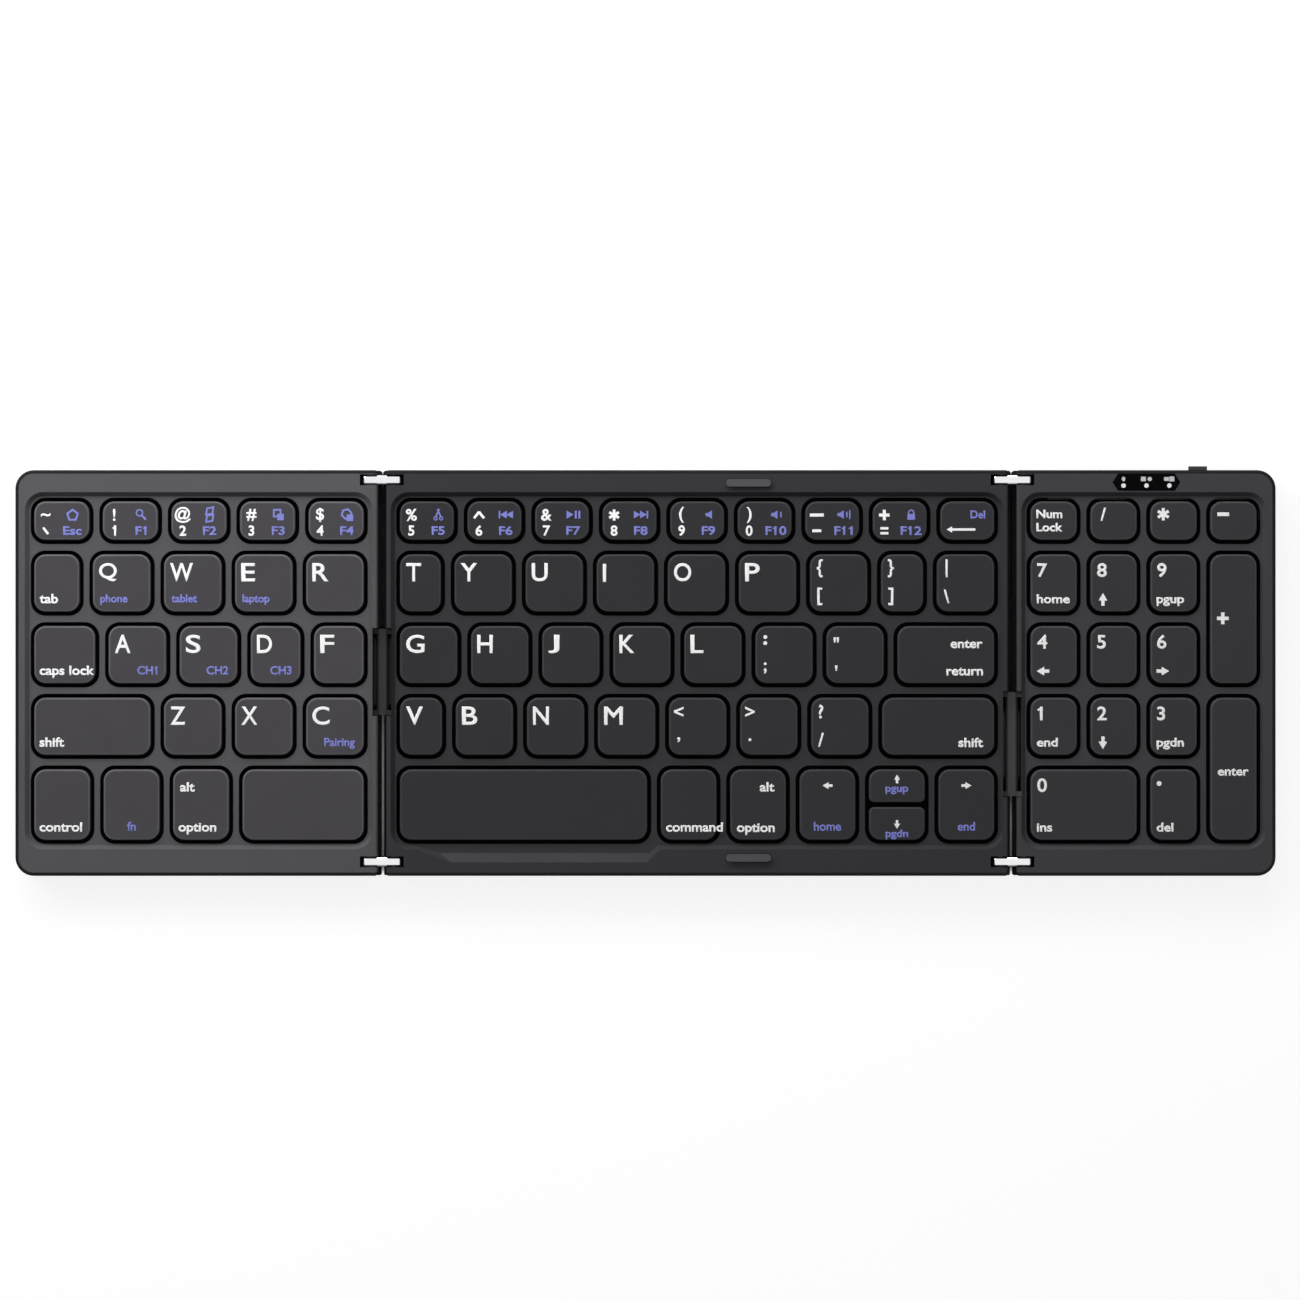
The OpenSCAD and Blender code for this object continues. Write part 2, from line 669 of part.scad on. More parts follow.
// Top frame of a panel between xa and xb. hinge_a and hinge_b say which ends meet a gap.
module top_frame(xa, xb, hinge_a, hinge_b, field, openings, places, bridges, spots) {
  x0 = xa + (hinge_a ? open_gap / 2 : 0);
  x1 = xb - (hinge_b ? open_gap / 2 : 0);
  difference() {
    union() {
      difference() {
        translate([0, 0, z_plate]) slab(x0, x1, z_rim - z_plate,
          hinge_a ? hinge_corner_r : corner_r, hinge_b ? hinge_corner_r : corner_r, top_edge_r, 0.1);
        translate([0, 0, z_plate - over]) linear_extrude(z_web - web_t - z_plate + over)
          hollow_plan(xa, xb, hinge_a, hinge_b);
        well(field);
      }
      translate([0, 0, z_membrane + membrane_t]) linear_extrude(z_web - web_t - z_membrane)
        intersection() {
          hollow_plan(xa, xb, hinge_a, hinge_b);
          row_rib_plans(xa, xb);
        }
      screw_bosses(places);
      for (b = bridges) bridge_bearings(b[0], b[1], b[2]);
    }
    for (k = openings) key_opening(k);
    for (b = bridges) {
      link_notch(b[0], b[1], rear_link_y);
      link_notch(b[0], b[1], front_link_y);
      pin_bores(b[0], b[1]);
      bridge_cut(b[0], b[1], b[2]);
    }
    screw_pilots(places);
    magnet_pockets(spots);
  }
}

// Front edges of the ribs that can carry a support plate, from the rear:
// one under its rear edge, one between each two rows, one under its front edge
rib_ys = concat([y_rear - rear_margin - rib_t],
                [for (r = [1:4]) y_rear - row_top(r) + (row_spacing - rib_t) / 2],
                [y_front + front_margin]);

// Back cover of a panel: floor, low walls, lips under the hinge gaps and ribs under the plate
module back_cover(xa, xb, hinge_a, hinge_b, field, places, bridges, ribs) {
  x0 = xa + (hinge_a ? rear_lip_gap / 2 : 0);
  x1 = xb - (hinge_b ? rear_lip_gap / 2 : 0);
  h = z_plate - z_base;
  difference() {
    translate([0, 0, z_base]) slab(x0, x1, h,
      hinge_a ? hinge_corner_r : corner_r, hinge_b ? hinge_corner_r : corner_r, 0.1, bottom_edge_r);
    difference() {
      translate([0, 0, z_floor]) linear_extrude(h) cover_hollow_plan(xa, xb, hinge_a, hinge_b);
      translate([0, 0, z_floor - over]) linear_extrude(z_plate - z_floor + over)
        for (i = ribs) translate([field[0], rib_ys[i]]) square([field[1], rib_t]);
    }
    for (b = bridges) {
      translate([b[0], bridge_y[b[2]], z_floor + lip_clearance + panel_t / 2])
        cube([2 * inner_face + 2, bridge_l[b[2]] + 2 * bridge_end_play, panel_t], center = true);
      translate([b[0] - front_lip_gap / 2, y_front - over, 0])
        cube([front_lip_gap, bridge_y[b[2]] - bridge_l[b[2]] / 2 - y_front + over, z_rim]);
    }
    for (p = places) translate([p[0], p[1], z_base]) {
      translate([0, 0, -0.01]) cylinder(r1 = screw_head_r + screw_play * 2,
                                        r2 = screw_r + screw_play * 2, h = screw_head_h + 0.02);
      cylinder(r = screw_r + screw_play * 2, h = floor_t + over);
    }
  }
}

module cover_hollow_plan(xa, xb, hinge_a, hinge_b) {
  x0 = xa + (hinge_a ? inner_face : wall);
  x1 = xb - (hinge_b ? inner_face : wall);
  translate([(x0 + x1) / 2, 0]) rounded_rect(x1 - x0, depth - 2 * wall, corner_r - wall);
}

// Recesses in the underside for the feet
function foot_places(xs) = [for (x = xs, s = [-1, 1]) [x, s * (depth / 2 - foot_in)]];
left_foot_places = foot_places([x_left + foot_side]);
centre_foot_places = foot_places([plane_l + foot_side, plane_r - foot_side]);
numpad_foot_places = foot_places([x_right - foot_side]);

module foot_plan(grow) {
  w = foot_w + 2 * grow;
  l = foot_l + 2 * grow;
  square([l - w, w], center = true);
  for (s = [-1, 1]) translate([s * (l - w) / 2, 0]) circle(w / 2);
}

module foot_recesses(places) {
  for (p = places) translate([p[0], p[1], z_base - over])
    linear_extrude(foot_sink + over) foot_plan(fit_gap);
}

module feet(places) {
  color("#1d1d1f") for (p = places) translate([p[0], p[1], 0])
    linear_extrude(foot_proud + foot_sink) foot_plan(0);
}

// Steel support plate under a key field
module support_plate(field) {
  color("#9a9da0") translate([field[0] - 0.1, y_front + front_margin, z_plate])
    cube([field[1] + 0.2, depth - rear_margin - front_margin, plate_t]);
}

// Switch membrane with the flat tails that lead to the cable bridges
module membrane(field, bridges) {
  color("#8f9a8c") {
    translate([field[0], y_front + front_margin + 0.1, z_membrane])
      cube([field[1], depth - rear_margin - front_margin - 0.2, membrane_t]);
    for (b = bridges) {
      end = bridge_notch_half + 0.1;
      reach = hinge_margin + 2;
      translate([b[0] + (b[1] > 0 ? end : -reach), bridge_y[b[2]] - cable_w / 2, z_cable])
        cube([reach - end, cable_w, cable_t]);
    }
  }
}

// Left panel pieces
module left_top_frame() color("#4a484c") top_frame(x_left, plane_l, false, true, left_field,
  left_all, left_screw_places, [[plane_l, -1, 0]], left_magnet_places);
module left_back_cover() color("#3b3a3d") difference() {
  back_cover(x_left, plane_l, false, true, left_field, left_screw_places,
             [[plane_l, -1, 0]], [0:5]);
  foot_recesses(left_foot_places);
}
module left_support_plate() support_plate(left_field);
module left_membrane() membrane(left_field, [[plane_l, -1, 0]]);

// Centre panel pieces
centre_bridges = [[plane_l, 1, 0], [plane_r, -1, 1]];
module bumper_plan(grow) {
  w = bumper_w + 2 * grow;
  l = bumper_l + 2 * grow;
  square([l - w, w], center = true);
  for (s = [-1, 1]) translate([s * (l - w) / 2, 0]) circle(w / 2);
}
module at_bumpers() {
  for (y = [y_rear - bumper_rear_in, y_front + bumper_front_in])
    translate([x_fold, y, z_rim - bumper_sink]) children();
}
module centre_top_frame() color("#38383b") difference() {
  top_frame(plane_l, plane_r, true, true, centre_field, centre_all_openings,
            centre_screw_places, centre_bridges, centre_magnet_places);
  thumb_relief();
  at_bumpers() linear_extrude(bumper_sink + over) bumper_plan(fit_gap);
}
module centre_back_cover() color("#323234") difference() {
  back_cover(plane_l, plane_r, true, true, centre_field, centre_screw_places,
             centre_bridges, [0:5]);
  foot_recesses(centre_foot_places);
}
module centre_support_plate() support_plate(centre_field);
module centre_membrane() membrane(centre_field, centre_bridges);
module fold_bumpers() color("#555557") at_bumpers() linear_extrude(bumper_sink + bumper_proud) bumper_plan(0);

// Number pad panel pieces
module window_plan(grow) {
  l = window_l / 2 + grow;
  w = window_w / 2 + grow;
  polygon([[-l, 0], [-l + window_tip, w], [l - window_tip, w],
           [l, 0], [l - window_tip, -w], [-l + window_tip, -w]]);
}
module at_pipes() {
  for (i = [-1:1]) translate([x_window + i * pipe_pitch, y_window - pipe_in, 0]) children();
}
module port_plan(grow) {
  h = port_h + 2 * grow;
  w = port_w + 2 * grow;
  square([w - h, h], center = true);
  for (s = [-1, 1]) translate([s * (w - h) / 2, 0]) circle(h / 2);
}
module port_cut() {
  translate([x_port, y_rear + over, z_port]) rotate([90, 0, 0])
    linear_extrude(port_d + over + fit_gap) port_plan(fit_gap);
}
module knob_slot() {
  translate([x_knob - knob_l / 2 - knob_travel - fit_gap, y_rear - wall - over,
             z_knob - knob_h / 2 - fit_gap])
    cube([knob_l + knob_travel + 2 * fit_gap, wall + 2 * over, knob_h + 2 * fit_gap]);
}
module numpad_top_frame() color("#3c3c3f") difference() {
  top_frame(plane_r, x_right, true, false, numpad_field, numpad_all,
            numpad_screw_places, [[plane_r, 1, 1]], numpad_magnet_places);
  port_cut();
  knob_slot();
  translate([x_window, y_window, z_rim - window_t])
    linear_extrude(window_t + over) window_plan(fit_gap);
  at_pipes() translate([0, 0, z_web - web_t - over])
    cylinder(r = pipe_r + fit_gap, h = well_depth + web_t + over);
}
module numpad_back_cover() color("#353538") difference() {
  back_cover(plane_r, x_right, true, false, numpad_field, numpad_screw_places,
             [[plane_r, 1, 1]], [1, 5]);
  foot_recesses(numpad_foot_places);
  port_cut();
}
module numpad_support_plate() support_plate(numpad_field);
module numpad_membrane() membrane(numpad_field, [[plane_r, 1, 1]]);

// Window with a hole for each light pipe
module status_window() color("#141416") difference() {
  translate([x_window, y_window, z_rim - window_t]) linear_extrude(window_t) window_plan(0);
  at_pipes() translate([0, 0, z_rim - window_t - over])
    cylinder(r = pipe_r + pin_fit, h = window_t + 2 * over);
}

// Light pipes from the lamps on the board to the face of the window
module light_pipes() color("#e8eef2") at_pipes() translate([0, 0, z_board + board_t])
  cylinder(r = pipe_r, h = z_rim - pipe_below - z_board - board_t);

battery_in = 6;
module battery() color("#b9bcc0")
  translate([numpad_field[0] + numpad_field[1] / 2 - battery_l / 2,
             y_front + front_margin + battery_in, z_floor + 0.02])
    cube([battery_l, battery_w, z_plate - z_floor - 0.1]);

// Board along the rear wall, cut out for the screw bosses and the charging port
module control_board() color("#1f5a3a") difference() {
  translate([0, 0, z_board]) linear_extrude(board_t) intersection() {
    translate([plane_r + board_side, y_rear - wall - board_gap - board_d])
      square([numpad_panel_w, board_d]);
    translate([(plane_r + x_right) / 2, 0]) rounded_rect(numpad_panel_w - 2 * wall - 2 * board_gap,
      depth - 2 * wall - 2 * board_gap, corner_r - wall - board_gap);
  }
  for (p = numpad_screw_places) translate([p[0], p[1], z_board - over])
    cylinder(r = boss_r + board_gap, h = board_t + 2 * over);
  translate([x_port, y_rear - port_d / 2, z_board])
    cube([port_w + 2 * board_gap, port_d + 1, 4 * board_t], center = true);
}

module charging_port() color("#c3c5c8") translate([x_port, y_rear - 0.15, z_port]) rotate([90, 0, 0]) {
  difference() {
    linear_extrude(port_d - 0.15) port_plan(0);
    translate([0, 0, -over]) linear_extrude(port_d - 1 + over) port_plan(-port_wall);
  }
  translate([0, 0, 0.6]) linear_extrude(port_d - 1) square([port_w - 2.6, 0.7], center = true);
}

module power_switch() color("#2a2a2c") difference() {
  translate([x_knob - knob_travel / 2 - switch_body[0] / 2,
             y_rear - wall - 0.1 - knob_stem_l - switch_body[1], z_board + board_t])
    cube([switch_body[0], switch_body[1] + 1.2, z_knob + knob_h / 2 + 0.3 - z_board - board_t]);
  translate([x_knob - knob_travel - 1.2, y_rear - wall - knob_stem_l - 1.2, z_knob - 0.55])
    cube([knob_travel + 2.4, 4, 1.1]);
}

module power_switch_knob() color("#29292b") {
  translate([x_knob - knob_l / 2, y_rear - wall + 0.05, z_knob - knob_h / 2])
    cube([knob_l, wall - 0.05 + knob_out, knob_h]);
  translate([x_knob - 1.0, y_rear - wall - knob_stem_l, z_knob - 0.45])
    cube([2.0, knob_stem_l + 0.2, 0.9]);
}

// Hinge link: two eyes joined by a slimmer waist
module hinge_link(plane, y) {
  color("#d9dbde") translate([plane, y, z_axis]) rotate([90, 0, 0]) difference() {
    union() {
      for (s = [-1, 1]) translate([s * axis_spacing / 2, 0, 0])
        cylinder(r = link_eye_r, h = link_t, center = true);
      cube([axis_spacing, link_waist_h, link_waist_t], center = true);
    }
    for (s = [-1, 1]) translate([s * axis_spacing / 2, 0, 0])
      cylinder(r = hinge_pin_r + pin_fit, h = link_t + 1, center = true);
  }
}

// The four pins of one double-axis hinge
module hinge_pins(plane) {
  color("#b8babd") for (s = [-1, 1], e = [[rear_link_y, 1], [front_link_y, -1]])
    translate([plane + s * axis_spacing / 2, e[0], z_axis]) rotate([-90 * e[1], 0, 0])
      translate([0, 0, -link_t / 2 - side_play - inner_clevis_wall])
        cylinder(r = hinge_pin_r, h = link_t + 2 * side_play + inner_clevis_wall + pin_blind);
}

// Section of the bar of a cable bridge, rounded along its four edges
module bar_section() {
  rounded_rect(bridge_bar_w, bridge_bar_h, 0.8);
}

// Cable bridge: a bar with a slot for the flat cable, carried on both axes by bent arms
module cable_bridge(plane, i) {
  l = bridge_l[i];
  half = axis_spacing / 2;
  drop = z_bar - z_axis;
  run = norm([half, drop]);
  color("#3f3e41") translate([plane, bridge_y[i], z_axis]) difference() {
    union() {
      translate([0, 0, drop]) rotate([90, 0, 0]) linear_extrude(l, center = true) bar_section();
      for (e = [-1, 1], s = [-1, 1]) translate([0, e * (l - bridge_arm_t) / 2, 0]) {
        translate([s * half, 0, 0]) rotate([90, 0, 0])
          cylinder(r = bridge_eye_r, h = bridge_arm_t, center = true);
        translate([s * half / 2, 0, drop / 2]) rotate([0, s * -arm_lean, 0])
          cube([run, bridge_arm_t, bridge_arm_w], center = true);
        translate([s * half, e * bridge_arm_t / 2, 0]) rotate([-90 * e, 0, 0])
          translate([0, 0, -0.1]) cylinder(r = bridge_stub_r, h = bridge_stub_l + 0.1);
      }
    }
    translate([0, 0, drop]) cube([2 * bridge_bar_w, cable_w + 0.4, cable_t + 0.1], center = true);
  }
}

// Flat cable inside a cable bridge
module flex_cable(plane, i) {
  end = bridge_notch_half + 0.1 - cable_end_gap;
  color("#26262a") translate([plane - end, bridge_y[i] - cable_w / 2, z_cable])
    cube([2 * end, cable_w, cable_t]);
}

left_top_frame();
left_back_cover();
left_support_plate();
left_membrane();
domes(left_all);  // left_rubber_domes
scissors(left_all);  // left_scissor_links
keycaps(left_keys(0), "#454347");  // left_keys_row1
keycaps(left_keys(1), "#454347");  // left_keys_row2
keycaps(left_keys(2), "#454347");  // left_keys_row3
keycaps(left_keys(3), "#454347");  // left_keys_row4
keycaps(left_keys(4), "#454347");  // left_keys_row5
screws(left_screw_places);  // left_screws
feet(left_foot_places);  // left_feet
magnets(left_magnet_places);  // left_magnets
centre_top_frame();
centre_back_cover();
centre_support_plate();
centre_membrane();
domes(centre_all);  // centre_rubber_domes
scissors(centre_all);  // centre_scissor_links
keycaps(centre_keys(0), "#333436");  // centre_keys_row1
keycaps(centre_keys(1), "#333436");  // centre_keys_row2
keycaps(centre_keys(2), "#333436");  // centre_keys_row3
keycaps(centre_keys(3), "#333436");  // centre_keys_row4
keycaps(centre_keys(4), "#333436");  // centre_keys_row5
screws(centre_screw_places);  // centre_screws
feet(centre_foot_places);  // centre_feet
magnets(centre_magnet_places);  // centre_magnets
fold_bumpers();
numpad_top_frame();
numpad_back_cover();
numpad_support_plate();
numpad_membrane();
domes(numpad_all);  // numpad_rubber_domes
scissors(numpad_all);  // numpad_scissor_links
keycaps(numpad_keys(0), "#3a3a3d");  // numpad_keys_row1
keycaps(numpad_keys(1), "#3a3a3d");  // numpad_keys_row2
keycaps(numpad_keys(2), "#3a3a3d");  // numpad_keys_row3
keycaps(numpad_keys(3), "#3a3a3d");  // numpad_keys_row4
keycaps(numpad_keys(4), "#3a3a3d");  // numpad_keys_row5
screws(numpad_screw_places);  // numpad_screws
feet(numpad_foot_places);  // numpad_feet
magnets(numpad_magnet_places);  // numpad_magnets
battery();
control_board();
charging_port();
status_window();
light_pipes();
power_switch();
power_switch_knob();
hinge_link(plane_l, rear_link_y);  // left_rear_link
hinge_link(plane_l, front_link_y);  // left_front_link
hinge_link(plane_r, rear_link_y);  // right_rear_link
hinge_link(plane_r, front_link_y);  // right_front_link
hinge_pins(plane_l);  // left_hinge_pins
hinge_pins(plane_r);  // right_hinge_pins
cable_bridge(plane_l, 0);  // left_cable_bridge
cable_bridge(plane_r, 1);  // right_cable_bridge
flex_cable(plane_l, 0);  // left_flex_cable
flex_cable(plane_r, 1);  // right_flex_cable
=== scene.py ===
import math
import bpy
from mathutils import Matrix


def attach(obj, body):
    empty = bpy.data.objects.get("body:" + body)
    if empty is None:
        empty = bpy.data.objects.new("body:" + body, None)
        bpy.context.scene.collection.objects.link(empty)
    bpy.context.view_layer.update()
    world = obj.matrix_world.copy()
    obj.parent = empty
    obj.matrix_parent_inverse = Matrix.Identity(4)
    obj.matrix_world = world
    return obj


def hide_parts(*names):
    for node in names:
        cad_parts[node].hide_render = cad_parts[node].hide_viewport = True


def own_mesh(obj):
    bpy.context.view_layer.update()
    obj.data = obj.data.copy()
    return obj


bl_info = {
    "name": "Folding keyboard with number pad",
    "version": (1, 0, 0),
    "blender": (4, 5, 0),
    "location": "3D View > Sidebar > Keyboard",
    "description": "Gives the packed keyboard its keycaps, legends, finishes and stage",
    "category": "Object",
}

import bmesh
import bpy
from bpy.props import FloatProperty, FloatVectorProperty, PointerProperty
from mathutils import Matrix, Vector

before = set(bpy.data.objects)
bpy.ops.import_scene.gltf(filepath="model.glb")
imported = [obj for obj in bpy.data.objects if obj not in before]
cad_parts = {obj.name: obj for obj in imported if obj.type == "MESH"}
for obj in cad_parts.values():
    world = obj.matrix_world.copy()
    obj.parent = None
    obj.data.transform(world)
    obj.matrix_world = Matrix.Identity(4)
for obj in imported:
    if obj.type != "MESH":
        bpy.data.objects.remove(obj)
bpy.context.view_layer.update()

MM = 0.001
SIDES = ("left", "centre", "numpad")


def linear(hex_value):
    """Turns an sRGB hex colour into the linear red, green and blue that shaders read."""
    values = [int(hex_value[i : i + 2], 16) / 255 for i in (1, 3, 5)]
    return tuple(
        v / 12.92 if v <= 0.04045 else ((v + 0.055) / 1.055) ** 2.4 for v in values
    )


def length(name, default, description):
    """A size in millimetres, kept in metres."""
    return FloatProperty(
        name=name,
        description=description,
        default=default * MM,
        min=0,
        precision=5,
        subtype="DISTANCE",
        unit="LENGTH",
    )


def colour(name, default, description):
    """A colour given as an sRGB hex value."""
    return FloatVectorProperty(
        name=name,
        description=description,
        default=linear(default),
        min=0,
        max=1,
        size=3,
        subtype="COLOR",
    )


class KeyboardSizes(bpy.types.PropertyGroup):
    """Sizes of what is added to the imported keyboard."""

    cap_corner: length("Cap corner", 2.8, "Corner radius of a keycap seen from above")
    cap_edge: length("Cap edge", 0.45, "Rounding of a keycap's upper edge")
    cap_wall: length("Cap wall", 0.8, "Thickness of a keycap's side walls")
    cap_top: length("Cap top", 1.0, "Thickness of a keycap's top")
    cap_play: length("Cap play", 0.18, "How much wider the gap round a keycap is drawn")
    key_travel: length("Key travel", 1.4, "How far a keycap goes down")
    split_corner: length("Split corner", 1.3, "Corner radius where two half keys meet")
    link_edge: length("Link edge", 0.7, "Rounding of a hinge link's edges")
    link_end: length("Link end", 0.9, "Rounding of a hinge link's ends in side view")
    ink: length("Ink", 0.02, "Height of the printed legends above a keycap")
    spread: length("Ink spread", 0.09, "How far the ink widens a stroke on each side")
    camera_height: length("Camera height", 1300, "Height of the camera above the rim")
    view_width: length("View width", 314.7, "Width of the picture at the rim")
    view_x: length("View sideways", 1.09, "How far right of the keyboard the camera is")
    view_y: length("View back", 5.57, "How far behind the keyboard's middle it is")
    rim_height: length("Rim height", 7.0, "Height at which the view width is measured")
    # Width of the painted shade along the frames' rounded outer edge.
    edge_shade_band: length("Edge band", 0.85, "Width of the dark band round the frames")
    panel_corner: length("Panel corner", 4.5, "Radius of the keyboard's outer corners")


class KeyboardColours(bpy.types.PropertyGroup):
    """Colours of the finishes that show."""

    # The three frames are lighter and darker copies of one grey: painted light and shade
    # for how the light falls on each panel.
    left_shell: colour("Left frame", "#515053", "Moulded frame of the left panel")
    centre_shell: colour("Centre frame", "#2d2d30", "Moulded frame of the middle panel")
    numpad_shell: colour("Number pad frame", "#3c3c40", "Moulded frame at the right")
    # The keycaps likewise are lighter and darker copies of one grey: painted light and
    # shade for each panel.
    left_caps: colour("Left keycaps", "#424044", "Lacquered keycaps of the left panel")
    centre_caps: colour("Centre keycaps", "#27272a", "Lacquered keycaps in the middle")
    numpad_caps: colour("Number pad keycaps", "#2e2e31", "Lacquered keycaps at right")
    back: colour("Back covers", "#151517", "Moulded covers underneath")
    white_ink: colour("White legends", "#ffffff", "Main legends on the keycaps")
    blue_ink: colour("Blue legends", "#8084d0", "Second legends, used with the fn key")
    chrome: colour("Hinge links", "#eeeef0", "Plated metal of the hinge links")
    floor: colour("Floor", "#808080", "Paper that the keyboard lies on")


def feed(node, inputs):
    """Gives the sockets of a node their values or links."""
    for socket, value in inputs.items():
        if isinstance(value, bpy.types.NodeSocket):
            node.id_data.links.new(value, node.inputs[socket])
        else:
            node.inputs[socket].default_value = value


def add_node(tree, kind, inputs=None, **settings):
    """Adds a node, sets its options, and gives its sockets values or links."""
    node = tree.nodes.new(kind)
    for name, value in settings.items():
        setattr(node, name, value)
    feed(node, inputs or {})
    return node


def maths(tree, operation, *values):
    """The result of one operation on some values."""
    return add_node(
        tree, "ShaderNodeMath", dict(enumerate(values)), operation=operation
    ).outputs["Value"]


def mapped(tree, value, from_min=0.0, from_max=1.0, to_min=0.0, to_max=1.0):
    """A value carried over from one range to another."""
    return add_node(
        tree,
        "ShaderNodeMapRange",
        {
            "Value": value,
            "From Min": from_min,
            "From Max": from_max,
            "To Min": to_min,
            "To Max": to_max,
        },
    ).outputs["Result"]


def mixed(tree, factor, first, second, **settings):
    """The mix of two colours."""
    inputs = {0: factor, 6: first, 7: second}
    return add_node(
        tree, "ShaderNodeMix", inputs, data_type="RGBA", **settings
    ).outputs[2]


def noise(tree, place, size, detail, roughness=0.5):
    """Noise that repeats about once in size mm, on coordinates in metres."""
    inputs = {"Vector": place, "Scale": 1 / (size * MM)}
    inputs |= {"Detail": detail, "Roughness": roughness}
    return add_node(tree, "ShaderNodeTexNoise", inputs).outputs["Fac"]


def start_material(name):
    """An empty material with its shader, and the Object coordinates in metres."""
    material = bpy.data.materials.new(name)
    material.use_nodes = True
    tree = material.node_tree
    tree.nodes.clear()
    shader = add_node(tree, "ShaderNodeBsdfPrincipled")
    add_node(
        tree, "ShaderNodeOutputMaterial", {"Surface": shader.outputs["BSDF"]}
    )
    place = add_node(tree, "ShaderNodeTexCoord").outputs["Object"]
    material.diffuse_color = (0.1, 0.1, 0.1, 1)
    return material, tree, shader, place


def shades(rgb, low, high):
    """The same colour a little darker and a little lighter, as shader colours."""
    return [tuple(c * factor for c in rgb) + (1,) for factor in (low, high)]


# The part of the range of two added noises that a surface uses, and how far its roughness
# goes up and down within it.
NOISE_RANGE = (0.7, 1.3)
ROUGHNESS_SPAN = 0.05


def grained(
    name,
    rgb,
    roughness,
    grain,
    pit,
    cloud,
    variation,
    specular=0.5,
    sheen=0.0,
    metallic=0.0,
    stretch=(1, 1, 1),
):
    """A surface whose fine grain gives the bump and whose broad clouds vary its colour.

    grain and cloud are sizes in mm, and pit is the depth of the grain in mm.
    """
    material, tree, shader, place = start_material(name)
    dark, light = shades(rgb, 1 - variation, 1 + variation)
    stretched = add_node(
        tree, "ShaderNodeMapping", {"Vector": place, "Scale": stretch}
    ).outputs["Vector"]
    fine = noise(tree, stretched, grain, 3.0, 0.6)
    both = maths(tree, "ADD", fine, noise(tree, place, cloud, 2.0))
    smooth = max(roughness - ROUGHNESS_SPAN, 0.02)
    rough = roughness + ROUGHNESS_SPAN
    bump = add_node(
        tree,
        "ShaderNodeBump",
        {"Height": fine, "Strength": 1.0, "Distance": pit * MM},
    ).outputs["Normal"]
    feed(
        shader,
        {
            "Base Color": mixed(tree, mapped(tree, both, *NOISE_RANGE), dark, light),
            "Roughness": mapped(tree, both, *NOISE_RANGE, smooth, rough),
            "Normal": bump,
            "Specular IOR Level": specular,
            "Metallic": metallic,
            "Sheen Weight": sheen,
        },
    )
    material.diffuse_color = tuple(rgb) + (1,)
    return material


def dress(node, material):
    """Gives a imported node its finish."""
    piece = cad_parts[node]
    piece.data.materials.clear()
    piece.data.materials.append(material)


def new_piece(name, bm, material, body):
    """Turns a finished bmesh into a piece that moves with a body."""
    mesh = bpy.data.meshes.new(name)
    bm.to_mesh(mesh)
    bm.free()
    mesh.materials.append(material)
    piece = bpy.data.objects.new(name, mesh)
    bpy.context.scene.collection.objects.link(piece)
    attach(piece, body)
    return piece


def node_solids(node):
    """The mesh of a node, and the vertices of each of its separate solids."""
    bm = bmesh.new()
    bm.from_mesh(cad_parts[node].data)
    bmesh.ops.remove_doubles(bm, verts=bm.verts, dist=1e-7)
    left, solids = set(bm.verts), []
    while left:
        group, edge = [], [left.pop()]
        while edge:
            vert = edge.pop()
            group.append(vert)
            for link in vert.link_edges:
                other = link.other_vert(vert)
                if other in left:
                    left.remove(other)
                    edge.append(other)
        solids.append(group)
    return bm, solids


def corners(verts):
    """The lower and the upper corner of the box round some vertices."""
    places = [v.co for v in verts]
    return Vector(map(min, zip(*places))), Vector(map(max, zip(*places)))


def solid_boxes(node):
    """The corners of each solid of a node, from left to right and rear to front."""
    bm, solids = node_solids(node)
    boxes = [corners(solid) for solid in solids]
    bm.free()
    return sorted(boxes, key=lambda box: (round(box[0].x / MM), -box[1].y))


def squash_under_keys(side, node, material):
    """Splits domes or scissor links by row, into one piece for each row."""
    keys = {row: solid_boxes(f"{side}_keys_row{row}") for row in range(1, 6)}
    for row, boxes in keys.items():
        bm, solids = node_solids(node)
        for solid in solids:
            low, high = corners(solid)
            x, y = (low.x + high.x) / 2, (low.y + high.y) / 2
            if not any(a.x < x < b.x and a.y < y < b.y for a, b in boxes):
                bmesh.ops.delete(bm, geom=solid, context="VERTS")
        low, high = corners(bm.verts)
        part = new_piece(f"{node}_row{row}", bm, material, f"{side}_panel")
        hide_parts(node)
        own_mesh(part)


